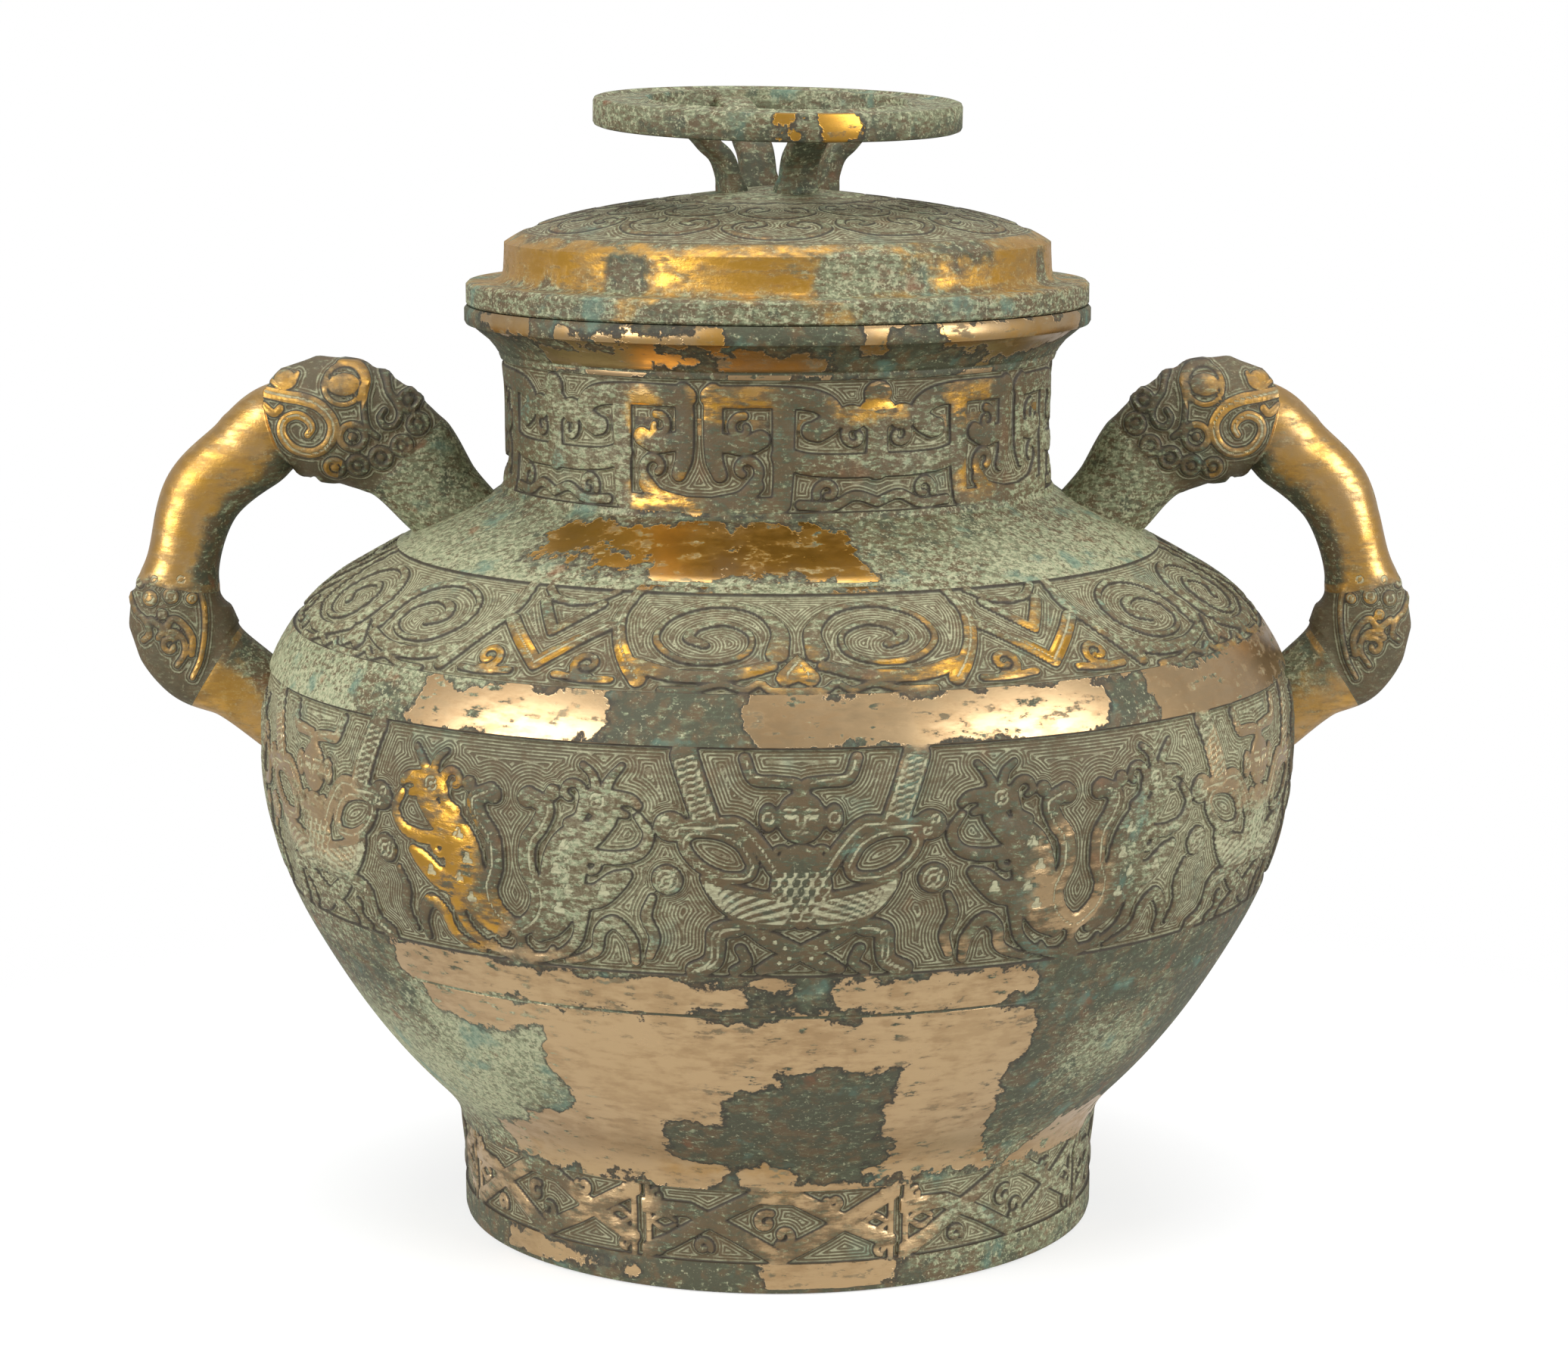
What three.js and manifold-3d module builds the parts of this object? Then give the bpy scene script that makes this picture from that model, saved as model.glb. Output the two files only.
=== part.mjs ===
// A gilt bronze jar with a lid, after the ritual vessels of ancient China: a round bowl on a tall foot
// ring, carved bands sunk into its wall, two loop handles that spring from beasts' heads, and a low
// stepped lid with a ring knob on four flared struts.
// Units are millimetres. +Z is up, the front faces -Y, and the origin is the centre of the foot's
// underside. An azimuth is counted from the front towards +X.

import * as THREE from 'three';
import { mergeVertices } from 'three/addons/utils/BufferGeometryUtils.js';
import Module from 'manifold-3d';

const wasm = await Module();
wasm.setup();

// Bowl, neck and foot
const FOOT_BASE_RADIUS = 100.3;
const FOOT_TOP_RADIUS = 101.9;
const FOOT_HEIGHT = 33.5;
const FOOT_WALL = 6.5;
const FOOT_EDGE = 1.5;
const COVE_RISE = 13.5;
const COVE_RADIUS = 111;
const LOWER_BOWL_Z = 97;
const LOWER_BOWL_RADIUS = 147.2;
const BELLY_Z = 152;
const BELLY_RADIUS = 162;
const UPPER_BELLY_Z = 185;
const UPPER_BELLY_RADIUS = 155.2;
const SHOULDER_Z = 205;
const SHOULDER_RADIUS = 135.2;
const SWEEP_Z = 219;
const SWEEP_RADIUS = 109.5;
const NECK_FOOT_Z = 233;
const NECK_FOOT_RADIUS = 85.6;
const NECK_Z = 250;
const NECK_RADIUS = 84.8;
const NECK_TOP_Z = 266;
const RIM_FLARE_Z = 277;
const RIM_FLARE_RADIUS = 89.3;
const RIM_BOTTOM_Z = 282;
const RIM_RADIUS = 97.2;
const RIM_HEIGHT = 5.8;
const RIM_WIDTH = 9;
const WALL = 5;
const FLOOR_Z = 25;

// Carved bands: the ground is sunk into the wall, and the figures stand a hair above it
const BAND_DEPTH = 1.1;
const BAND_EDGE = 0.9;
const BAND_PROUD = 0.4;
const BAND_ROOT = 1.2;
const FOOT_BAND = { low: 9.5, high: 32.5, rows: 1, repeats: 8, turn: -1.4 };
const BELLY_BAND = { low: 110.5, high: 177, rows: 3, repeats: 6, turn: 2.2 };
const SHOULDER_BAND = { low: 190.5, high: 214, rows: 2, repeats: 6, turn: 0 };
const NECK_BAND = { low: 232.5, high: 271.5, rows: 2, repeats: 5, turn: -15.7 };

// Lid and knob
const LID_GAP = 0.3;
const LID_WALL = 4.5;
const FLANGE_RADIUS = 96.6;
const FLANGE_HEIGHT = 7.1;
const STEP_RADIUS = 85;
const STEP_HEIGHT = 11.5;
const DOME_RISE = 17.5;
const LIP_CLEARANCE = 1.6;
const LIP_WALL = 4;
const LIP_DEPTH = 8;
const KNOB_RADIUS = 57;
const KNOB_HOLE_RADIUS = 40;
const KNOB_THICKNESS = 8.5;
const KNOB_LIFT = 17.9;
const KNOB_TILT = { forward: 3, sideways: 1.1 };
const STRUT_WIDTH = 12;
const STRUT_THICKNESS = 6;
const STRUT_FOOT_RADIUS = 14.6;
const STRUT_TURN = 22;
const STRUT_COUNT = 4;

// Handles
const HANDLE_GAP = 0.3;
const UPPER_ROOT_Z = 224;
const LOWER_ROOT_Z = 163;
const HANDLE_REACH = { left: 207.5, right: 203.5 };
const HANDLE_CARVING = 1.6;

// Facets
const JAR_SIDES = 36;
const LID_SIDES = 32;
const KNOB_SIDES = 28;
const HANDLE_SIDES = 10;
const HANDLE_STEPS = 18;
const BOSS_SIDES = 6;
const CURL_STEPS = 4;
const CORE_ROWS = 36;
const FACET_TOLERANCE = 0.22;

const bronze = new THREE.MeshStandardMaterial({ color: 0x6f7a5c, roughness: 0.62, metalness: 0.6 });
const gilt = new THREE.MeshStandardMaterial({ color: 0xb08a4a, roughness: 0.38, metalness: 0.9 });
const lidBronze = new THREE.MeshStandardMaterial({ color: 0x75825f, roughness: 0.6, metalness: 0.6 });

const radians = THREE.MathUtils.degToRad;
const lerp = THREE.MathUtils.lerp;

// Solids

function signedVolume(position, index) {
  const [a, b, c] = [new THREE.Vector3(), new THREE.Vector3(), new THREE.Vector3()];
  let volume = 0;
  for (let i = 0; i < index.length; i += 3) {
    a.fromBufferAttribute(position, index[i]);
    b.fromBufferAttribute(position, index[i + 1]);
    c.fromBufferAttribute(position, index[i + 2]);
    volume += a.dot(b.cross(c)) / 6;
  }
  return volume;
}

// A closed geometry as a solid for joining and cutting, with its faces turned outwards.
function solid(geometry) {
  const bare = new THREE.BufferGeometry();
  bare.setAttribute('position', geometry.getAttribute('position').clone());
  bare.setIndex(geometry.getIndex());
  const merged = mergeVertices(bare, 1e-3);
  const kept = [];
  const corners = merged.getIndex().array;
  for (let i = 0; i < corners.length; i += 3) {
    const [a, b, c] = [corners[i], corners[i + 1], corners[i + 2]];
    if (a !== b && b !== c && c !== a) kept.push(a, b, c);
  }
  if (signedVolume(merged.getAttribute('position'), kept) < 0) kept.reverse();
  return new wasm.Manifold(new wasm.Mesh({
    numProp: 3,
    vertProperties: Float32Array.from(merged.getAttribute('position').array),
    triVerts: Uint32Array.from(kept),
  }));
}

// A finished solid as a named mesh. Facets that are flat to within FACET_TOLERANCE are merged first.
function meshOf(manifold, name, material) {
  const { vertProperties, triVerts } = manifold.asOriginal().simplify(FACET_TOLERANCE).getMesh();
  const geometry = new THREE.BufferGeometry();
  geometry.setAttribute('position', new THREE.BufferAttribute(vertProperties, 3));
  geometry.setIndex(new THREE.BufferAttribute(triVerts, 1));
  geometry.computeVertexNormals();
  const mesh = new THREE.Mesh(geometry, material);
  mesh.name = name;
  return mesh;
}

// A closed skin over rings of points that all have the same number of corners.
function loft(rings) {
  const sides = rings[0].length;
  const index = [];
  for (let i = 0; i + 1 < rings.length; i++) {
    for (let j = 0; j < sides; j++) {
      const k = (j + 1) % sides;
      const [a, b, c, d] = [i * sides + j, i * sides + k, (i + 1) * sides + k, (i + 1) * sides + j];
      index.push(a, b, c, a, c, d);
    }
  }
  const last = (rings.length - 1) * sides;
  for (let j = 1; j + 1 < sides; j++) {
    index.push(0, j + 1, j);
    index.push(last, last + j, last + j + 1);
  }
  const geometry = new THREE.BufferGeometry();
  geometry.setAttribute('position', new THREE.Float32BufferAttribute(rings.flat().flatMap((p) => [p.x, p.y, p.z]), 3));
  geometry.setIndex(index);
  return geometry;
}

// A turned solid from [radius, height] points.
function turned(points, sides) {
  const profile = points.map(([radius, height]) => new THREE.Vector2(radius, height));
  return solid(new THREE.LatheGeometry(profile, sides).rotateX(Math.PI / 2));
}

// Outline of the jar

// The outer surface as heights, radii and slopes (radius gained for each millimetre of height), which a
// cubic curve joins smoothly.
const OUTLINE = [
  { z: 0, r: FOOT_BASE_RADIUS, slope: 0.03 },
  { z: FOOT_HEIGHT, r: FOOT_TOP_RADIUS, slope: 0.18 },
  { z: FOOT_HEIGHT + COVE_RISE, r: COVE_RADIUS, slope: 1 },
  { z: LOWER_BOWL_Z, r: LOWER_BOWL_RADIUS, slope: 0.56 },
  { z: BELLY_Z, r: BELLY_RADIUS, slope: 0 },
  { z: UPPER_BELLY_Z, r: UPPER_BELLY_RADIUS, slope: -0.62 },
  { z: SHOULDER_Z, r: SHOULDER_RADIUS, slope: -1.75 },
  { z: SWEEP_Z, r: SWEEP_RADIUS, slope: -2 },
  { z: NECK_FOOT_Z, r: NECK_FOOT_RADIUS, slope: -0.15 },
  { z: NECK_Z, r: NECK_RADIUS, slope: 0 },
  { z: NECK_TOP_Z, r: NECK_RADIUS + 0.4, slope: 0.1 },
  { z: RIM_FLARE_Z, r: RIM_FLARE_RADIUS, slope: 0.9 },
  { z: RIM_BOTTOM_Z, r: RIM_RADIUS - 2, slope: 1 },
];

function outlineRadius(z) {
  const found = OUTLINE.findIndex((key) => key.z >= z);
  const end = found < 0 ? OUTLINE.length - 1 : Math.max(1, found);
  const [a, b] = [OUTLINE[end - 1], OUTLINE[end]];
  const span = b.z - a.z;
  const t = Math.min(1, Math.max(0, (z - a.z) / span));
  return (2 * t ** 3 - 3 * t ** 2 + 1) * a.r + (t ** 3 - 2 * t ** 2 + t) * span * a.slope
    + (3 * t ** 2 - 2 * t ** 3) * b.r + (t ** 3 - t ** 2) * span * b.slope;
}

// A point of the outer surface, moved out along the surface's own normal by lift.
function surfacePoint(z, lift) {
  const step = 0.25;
  const slope = (outlineRadius(z + step) - outlineRadius(z - step)) / (2 * step);
  const length = Math.hypot(1, slope);
  return [outlineRadius(z) + lift / length, z - (lift * slope) / length];
}

function range(from, to, steps) {
  return Array.from({ length: steps + 1 }, (_, i) => lerp(from, to, i / steps));
}

// The outer wall from the foot to the rim, with its carved bands sunk.
function outerWall() {
  const band = ({ low, high, rows }) => [
    surfacePoint(low, 0),
    ...range(low + BAND_EDGE, high - BAND_EDGE, rows).map((z) => surfacePoint(z, -BAND_DEPTH)),
    surfacePoint(high, 0),
  ];
  const plain = (from, to, steps) => range(from, to, steps).slice(1, -1).map((z) => surfacePoint(z, 0));
  return [
    ...band(FOOT_BAND),
    ...plain(FOOT_BAND.high, BELLY_BAND.low, 4),
    ...band(BELLY_BAND),
    ...band(SHOULDER_BAND),
    ...plain(SHOULDER_BAND.high, NECK_BAND.low, 2),
    ...band(NECK_BAND),
    ...plain(NECK_BAND.high, RIM_BOTTOM_Z, 2),
  ];
}

// The bowl's floor is a flat dish that steepens towards the wall.
const FLOOR_EDGE = surfacePoint(FOOT_HEIGHT + 1.4 * COVE_RISE, -WALL);
const FLOOR_POWER = 3.9;
const floorHeight = (radius) => (FLOOR_EDGE[1] - FLOOR_Z) * (radius / FLOOR_EDGE[0]) ** FLOOR_POWER;
const RIM_TOP_Z = RIM_BOTTOM_Z + RIM_HEIGHT;
const FOOT_INNER_RADIUS = FOOT_BASE_RADIUS - FOOT_WALL;

function jarProfile() {
  const dish = [0.5, 0.82];
  const underside = [0, 0.6, 1].map((share) => {
    const radius = share * FOOT_INNER_RADIUS;
    return [radius, FLOOR_Z - WALL + floorHeight(radius)];
  });
  const inside = [RIM_FLARE_Z - 2, NECK_TOP_Z, NECK_FOOT_Z, SWEEP_Z, SHOULDER_Z, UPPER_BELLY_Z, BELLY_Z,
    LOWER_BOWL_Z + 10];
  return [
    ...underside,
    [FOOT_INNER_RADIUS, 0],
    [FOOT_BASE_RADIUS - FOOT_EDGE, 0],
    [FOOT_BASE_RADIUS, FOOT_EDGE],
    ...outerWall(),
    [RIM_RADIUS - 2, RIM_BOTTOM_Z],
    [RIM_RADIUS, RIM_BOTTOM_Z + 1],
    [RIM_RADIUS, RIM_TOP_Z],
    [RIM_RADIUS - RIM_WIDTH, RIM_TOP_Z],
    ...inside.map((z) => surfacePoint(z, -WALL)),
    FLOOR_EDGE,
    ...dish.toReversed().map((share) => [share * FLOOR_EDGE[0], FLOOR_Z + floorHeight(share * FLOOR_EDGE[0])]),
    [0, FLOOR_Z],
  ];
}

// Carving

// A band as a map: x runs round the jar from the middle of one repeat, y up along the surface from the
// band's lower edge. A motif is drawn at its own size (drawn), and the map stretches it onto the band.
function bandMap(band, drawn) {
  const rows = 24;
  const heights = range(band.low, band.high, rows);
  const along = [0];
  for (let i = 0; i < rows; i++) {
    const rise = heights[i + 1] - heights[i];
    along.push(along[i] + Math.hypot(rise, outlineRadius(heights[i + 1]) - outlineRadius(heights[i])));
  }
  return (azimuth, x, y, lift) => {
    const target = (Math.min(drawn.height, Math.max(0, y)) / drawn.height) * along[rows];
    const row = Math.max(1, along.findIndex((length) => length >= target));
    const share = (target - along[row - 1]) / (along[row] - along[row - 1]);
    const [radius, z] = surfacePoint(lerp(heights[row - 1], heights[row], share), lift);
    const angle = radians(azimuth + (x / drawn.width) * (360 / band.repeats));
    return new THREE.Vector3(radius * Math.sin(angle), -radius * Math.cos(angle), z);
  };
}

// The two edges of a strip of the given width along a path of [x, y] points.
function stripEdges(path, width) {
  return path.map(([x, y], i) => {
    const [ax, ay] = path[Math.max(0, i - 1)];
    const [bx, by] = path[Math.min(path.length - 1, i + 1)];
    const length = Math.hypot(bx - ax, by - ay);
    const [nx, ny] = [(-(by - ay) / length) * width / 2, ((bx - ax) / length) * width / 2];
    return [[x + nx, y + ny], [x - nx, y - ny]];
  });
}

const mirrored = (stroke) => ({ ...stroke, path: stroke.path.map(([x, y]) => [-x, y]) });
const bothSides = (strokes) => strokes.flatMap((stroke) => [stroke, mirrored(stroke)]);

// A curl that winds in from its outer radius.
function curlPath({ x, z, outer, inner, start, sweep }, steps) {
  return range(0, 1, steps).map((t) => {
    const angle = radians(start + sweep * t);
    const radius = lerp(outer, inner, t);
    return [x + radius * Math.cos(angle), z + radius * Math.sin(angle)];
  });
}

// Every stroke and boss of a motif, repeated round its band, as solids rooted in the sunk ground.
function carve(band, drawn, { strokes, bosses = [] }) {
  const place = bandMap(band, drawn);
  const base = -BAND_DEPTH - BAND_ROOT;
  const pieces = [];
  for (let i = 0; i < band.repeats; i++) {
    const azimuth = band.turn + (i * 360) / band.repeats;
    for (const { path, width } of strokes) {
      pieces.push(solid(loft(stripEdges(path, width).map(([[ax, ay], [bx, by]]) => [
        place(azimuth, ax, ay, base), place(azimuth, bx, by, base),
        place(azimuth, bx, by, BAND_PROUD), place(azimuth, ax, ay, BAND_PROUD),
      ]))));
    }
    for (const { x, y, rx, ry } of bosses) {
      const ring = (lift) => range(0, 2 * Math.PI, BOSS_SIDES).slice(1)
        .map((t) => place(azimuth, x + rx * Math.cos(t), y + ry * Math.sin(t), lift));
      pieces.push(solid(loft([ring(base), ring(2 * BAND_PROUD)])));
    }
  }
  return pieces;
}

// Belly: a winged spirit between two rearing felines, with paired curling straps between the groups.
const SPIRIT = {
  strokes: [
    { path: [[0, 41], [0, 17]], width: 14 },
    ...bothSides([
      { path: [[1, 56], [15, 64]], width: 3.4 },
      { path: [[6, 33], [17, 46], [32, 45]], width: 3.8 },
      { path: [[5, 19], [27, 32]], width: 5 },
      { path: [[43, 60], [51, 38], [47, 6]], width: 7 },
      { path: [[77, 60], [73, 34], [77, 6]], width: 4.4 },
    ]),
  ],
  bosses: [{ x: 0, y: 48.5, rx: 6.8, ry: 7.4 }],
};

// Shoulder: broad oval swirls either side of a small heart, and a strap bent like a V between them.
const SWIRL = {
  strokes: bothSides([
    { path: [[12, 10], [16, 33], [40, 35], [43, 12]], width: 4 },
    { path: [[70, 4], [65, 22], [58, 38]], width: 3.6 },
  ]),
  bosses: [{ x: 0, y: 8, rx: 6, ry: 6 }],
};

// Neck: blocks of square hooks either side of a narrow upright ground, joined below it by a curved bar,
// and a small cross between the blocks.
const HOOKS = {
  strokes: [
    ...bothSides([
      { path: [[5.5, 37], [5.5, 13]], width: 6 },
      { path: [[3, 34], [23, 33], [25, 3]], width: 6.6 },
    ]),
    { path: [[-18, 12], [-10, 3.4], [10, 3.4], [18, 12]], width: 4.6 },
    { path: [[54, 14], [54, 38]], width: 6 },
    { path: [[45.5, 28], [62.5, 28]], width: 6 },
  ],
};

// Foot: straps that cross like a lattice, with an upright bar between the crossings.
const LATTICE = {
  strokes: [
    ...bothSides([
      { path: [[-33, 2.5], [0, 12], [33, 21.5]], width: 4.6 },
    ]),
    { path: [[39.5, 1], [39.5, 23]], width: 6 },
  ],
};

function makeJar() {
  const relief = [
    ...carve(BELLY_BAND, { width: 168, height: 69 }, SPIRIT),
    ...carve(SHOULDER_BAND, { width: 146, height: 42 }, SWIRL),
    ...carve(NECK_BAND, { width: 108, height: 41 }, HOOKS),
    ...carve(FOOT_BAND, { width: 79, height: 24 }, LATTICE),
  ];
  return wasm.Manifold.union([turned(jarProfile(), JAR_SIDES), ...relief]);
}

// Handles

// A handle's centre line from the upper root to the lower one: distance from the jar's axis, height,
// half depth in the handle's own plane and half width across it. It was drawn for roots that stand at
// DRAWN_ROOTS and for a reach of DRAWN_REACH, and follows the jar's surface where that moves.
const DRAWN_ROOTS = { upper: { r: 104.8, z: 224 }, lower: { r: 161.6, z: 163 } };
const DRAWN_REACH = 205;
const HANDLE_ROUTE = [
  { x: 92, z: 213, depth: 13, width: 12 },
  { x: 105.5, z: 227, depth: 14, width: 12.5 },
  { x: 118, z: 242, depth: 17, width: 14 },
  { x: 136, z: 251, depth: 20, width: 17 },
  { x: 154, z: 250, depth: 18.3, width: 16.5 },
  { x: 165, z: 241.5, depth: 13.3, width: 12.5 },
  { x: 179.7, z: 227.6, depth: 12.6, width: 12 },
  { x: 187.4, z: 206.5, depth: 12, width: 12 },
  { x: 188, z: 190.5, depth: 16.5, width: 13.5 },
  { x: 181, z: 177, depth: 16.8, width: 13.5 },
  { x: 169.3, z: 168.4, depth: 12.8, width: 12.3 },
  { x: 154, z: 157, depth: 12.8, width: 12.3 },
];

// Carving on a handle, in its plane: round bosses and curled strokes that stand proud on both sides.
const HANDLE_BOSSES = [
  { x: 154.5, z: 263, radius: 3.6 },
  { x: 135.5, z: 262, radius: 4.6 },
  { x: 131, z: 246, radius: 4 },
  { x: 117, z: 254, radius: 3.8 },
  { x: 191, z: 194, radius: 3.4 },
];
const HANDLE_CURLS = [
  { x: 148, z: 246, outer: 7.4, inner: 4, start: 60, sweep: -330, width: 3.2 },
  { x: 189, z: 181, outer: 6, inner: 3.4, start: 120, sweep: -250, width: 3 },
];

// A point of the handle's drawing, moved to where this jar's roots and this side's reach put it.
function handlePoint(x, z, reach) {
  const up = (z - DRAWN_ROOTS.lower.z) / (DRAWN_ROOTS.upper.z - DRAWN_ROOTS.lower.z);
  const held = Math.min(1, Math.max(0, up));
  const drawnRoot = lerp(DRAWN_ROOTS.lower.r, DRAWN_ROOTS.upper.r, held);
  const root = lerp(outlineRadius(LOWER_ROOT_Z), outlineRadius(UPPER_ROOT_Z), held);
  const stretch = (reach - outlineRadius(LOWER_ROOT_Z)) / (DRAWN_REACH - DRAWN_ROOTS.lower.r);
  const out = x - drawnRoot;
  const shift = stretch * Math.max(0, out) + Math.min(0, out);
  return new THREE.Vector3(root + shift, 0, lerp(LOWER_ROOT_Z, UPPER_ROOT_Z, up));
}

function handleBody(reach) {
  const centres = new THREE.CatmullRomCurve3(HANDLE_ROUTE.map(({ x, z }) => handlePoint(x, z, reach)));
  const sizes = new THREE.CatmullRomCurve3(HANDLE_ROUTE.map(({ depth, width }) => new THREE.Vector3(depth, width, 0)));
  const across = new THREE.Vector3(0, 1, 0);
  return solid(loft(range(0, 1, HANDLE_STEPS).map((t) => {
    const centre = centres.getPoint(t);
    const size = sizes.getPoint(t);
    const outward = new THREE.Vector3().crossVectors(across, centres.getTangent(t)).normalize();
    return range(0, 2 * Math.PI, HANDLE_SIDES).slice(1).map((a) => centre.clone()
      .addScaledVector(outward, size.x * Math.cos(a))
      .addScaledVector(across, size.y * Math.sin(a)));
  })));
}

// The half width of the handle's body where a carving sits on it.
function bodyWidth(x, z) {
  const near = HANDLE_ROUTE.toSorted((a, b) => Math.hypot(a.x - x, a.z - z) - Math.hypot(b.x - x, b.z - z))[0];
  const share = Math.min(0.9, Math.hypot(near.x - x, near.z - z) / near.depth);
  return near.width * Math.sqrt(1 - share ** 2);
}

// A shape in the handle's plane, run right through it so that it stands proud on both sides.
function through(ring, halfWidth) {
  const side = (y) => ring.map((point) => point.clone().setY(y));
  return solid(loft([side(-halfWidth), side(halfWidth)]));
}

function handleCarving(reach) {
  const bosses = HANDLE_BOSSES.map(({ x, z, radius }) => {
    const ring = range(0, 2 * Math.PI, BOSS_SIDES).slice(1)
      .map((a) => handlePoint(x + radius * Math.cos(a), z + radius * Math.sin(a), reach));
    return through(ring, bodyWidth(x, z) + HANDLE_CARVING);
  });
  const curls = HANDLE_CURLS.flatMap((curl) => {
    const edges = stripEdges(curlPath(curl, CURL_STEPS), curl.width);
    return edges.slice(1).map(([[cx, cz], [dx, dz]], i) => {
      const [[ax, az], [bx, bz]] = edges[i];
      const ring = [[ax, az], [bx, bz], [dx, dz], [cx, cz]].map(([px, pz]) => handlePoint(px, pz, reach));
      return through(ring, bodyWidth(curl.x, curl.z) + HANDLE_CARVING);
    });
  });
  return [...bosses, ...curls];
}

// Handles are made on the right and cut back to the jar's wall with a hair's breadth between. The core
// that cuts them has its facets outside the round wall, so that the carving's true radius clears them.
function makeHandle(side) {
  const reach = HANDLE_REACH[side];
  const around = 1 / Math.cos(Math.PI / JAR_SIDES);
  const wall = range(LOWER_BOWL_Z, RIM_FLARE_Z, CORE_ROWS).map((z) => {
    const [radius, height] = surfacePoint(z, HANDLE_GAP + 2 * BAND_PROUD);
    return [radius * around, height];
  });
  const core = turned([[0, wall[0][1]], ...wall, [0, wall.at(-1)[1]]], JAR_SIDES);
  const handle = wasm.Manifold.union([handleBody(reach), ...handleCarving(reach)]).subtract(core);
  return side === 'left' ? handle.mirror([1, 0, 0]) : handle;
}

// Lid

const LID_BOTTOM_Z = RIM_TOP_Z + LID_GAP;
const FLANGE_TOP_Z = LID_BOTTOM_Z + FLANGE_HEIGHT;
const STEP_TOP_Z = FLANGE_TOP_Z + STEP_HEIGHT;
const DOME_TOP_Z = STEP_TOP_Z + DOME_RISE;
const KNOB_Z = DOME_TOP_Z + KNOB_LIFT;

// The dome's height above the step: a flat cone that rounds over at its rim and its top.
function domeHeight(share) {
  return DOME_RISE * (1 - 0.62 * share ** 1.15 - 0.38 * share ** 7);
}

function lidProfile() {
  const narrowest = Math.min(...range(NECK_FOOT_Z, RIM_FLARE_Z, 24).map((z) => surfacePoint(z, -WALL)[0]));
  const lipRadius = narrowest - LIP_CLEARANCE;
  const hollow = lipRadius - LIP_WALL;
  const top = [0.93, 0.72, 0.35].map((share) => [share * STEP_RADIUS, STEP_TOP_Z + domeHeight(share)]);
  const under = [0.5, 0.85].map((share) => [share * hollow, DOME_TOP_Z - LID_WALL - DOME_RISE * 0.8 * share ** 2]);
  return [
    [0, DOME_TOP_Z - LID_WALL],
    ...under,
    [hollow, FLANGE_TOP_Z],
    [hollow, LID_BOTTOM_Z - LIP_DEPTH],
    [lipRadius, LID_BOTTOM_Z - LIP_DEPTH],
    [lipRadius, LID_BOTTOM_Z],
    [FLANGE_RADIUS, LID_BOTTOM_Z],
    [FLANGE_RADIUS, FLANGE_TOP_Z - 0.8],
    [FLANGE_RADIUS - 0.8, FLANGE_TOP_Z],
    [STEP_RADIUS + 1.5, FLANGE_TOP_Z],
    [STEP_RADIUS, FLANGE_TOP_Z + 1.5],
    [STEP_RADIUS - 0.6, STEP_TOP_Z],
    ...top,
    [0, DOME_TOP_Z],
  ];
}

// The knob is a flat ring, closed on itself in section, that leans forward and a little to one side.
function makeKnob() {
  const ring = new THREE.LatheGeometry([
    new THREE.Vector2(KNOB_HOLE_RADIUS, 0), new THREE.Vector2(KNOB_RADIUS - 0.8, 0),
    new THREE.Vector2(KNOB_RADIUS, 0.8), new THREE.Vector2(KNOB_RADIUS, KNOB_THICKNESS),
    new THREE.Vector2(KNOB_HOLE_RADIUS, KNOB_THICKNESS), new THREE.Vector2(KNOB_HOLE_RADIUS, 0),
  ], KNOB_SIDES);
  const flat = ring.rotateX(Math.PI / 2);
  return solid(flat.rotateX(radians(KNOB_TILT.forward)).rotateY(radians(KNOB_TILT.sideways)).translate(0, 0, KNOB_Z));
}

// A strut leans out from the dome, bends over near its top and runs into the knob, following its lean.
function makeStrut(azimuth) {
  const reach = KNOB_HOLE_RADIUS + 4;
  const rise = KNOB_Z + KNOB_THICKNESS / 2 - DOME_TOP_Z;
  const path = [[STRUT_FOOT_RADIUS, -4], [STRUT_FOOT_RADIUS + 3.4, 0.35 * rise], [STRUT_FOOT_RADIUS + 7.9, 0.57 * rise],
    [STRUT_FOOT_RADIUS + 12.9, 0.79 * rise], [lerp(STRUT_FOOT_RADIUS, reach, 0.7), 0.94 * rise], [reach, rise]];
  const round = new THREE.Vector3(Math.cos(radians(azimuth)), Math.sin(radians(azimuth)), 0);
  const out = new THREE.Vector3(Math.sin(radians(azimuth)), -Math.cos(radians(azimuth)), 0);
  const slope = out.y * Math.tan(radians(KNOB_TILT.forward)) - out.x * Math.tan(radians(KNOB_TILT.sideways));
  const at = ([radius, height]) => out.clone().multiplyScalar(radius)
    .setZ(DOME_TOP_Z + height + Math.max(0, height / rise) * radius * slope);
  return solid(loft(stripEdges(path, STRUT_THICKNESS).map(([inner, outer]) => [
    at(inner).addScaledVector(round, -STRUT_WIDTH / 2), at(inner).addScaledVector(round, STRUT_WIDTH / 2),
    at(outer).addScaledVector(round, STRUT_WIDTH / 2), at(outer).addScaledVector(round, -STRUT_WIDTH / 2),
  ])));
}

function makeLid() {
  const struts = Array.from({ length: STRUT_COUNT }, (_, i) => makeStrut(STRUT_TURN + (i * 360) / STRUT_COUNT));
  return wasm.Manifold.union([turned(lidProfile(), LID_SIDES), makeKnob(), ...struts]);
}

const jar = new THREE.Group();
jar.add(
  meshOf(makeJar(), 'jar_body', bronze),
  meshOf(makeHandle('left'), 'handle_left', gilt),
  meshOf(makeHandle('right'), 'handle_right', gilt),
  meshOf(makeLid(), 'lid', lidBronze),
);

export default jar;
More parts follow.
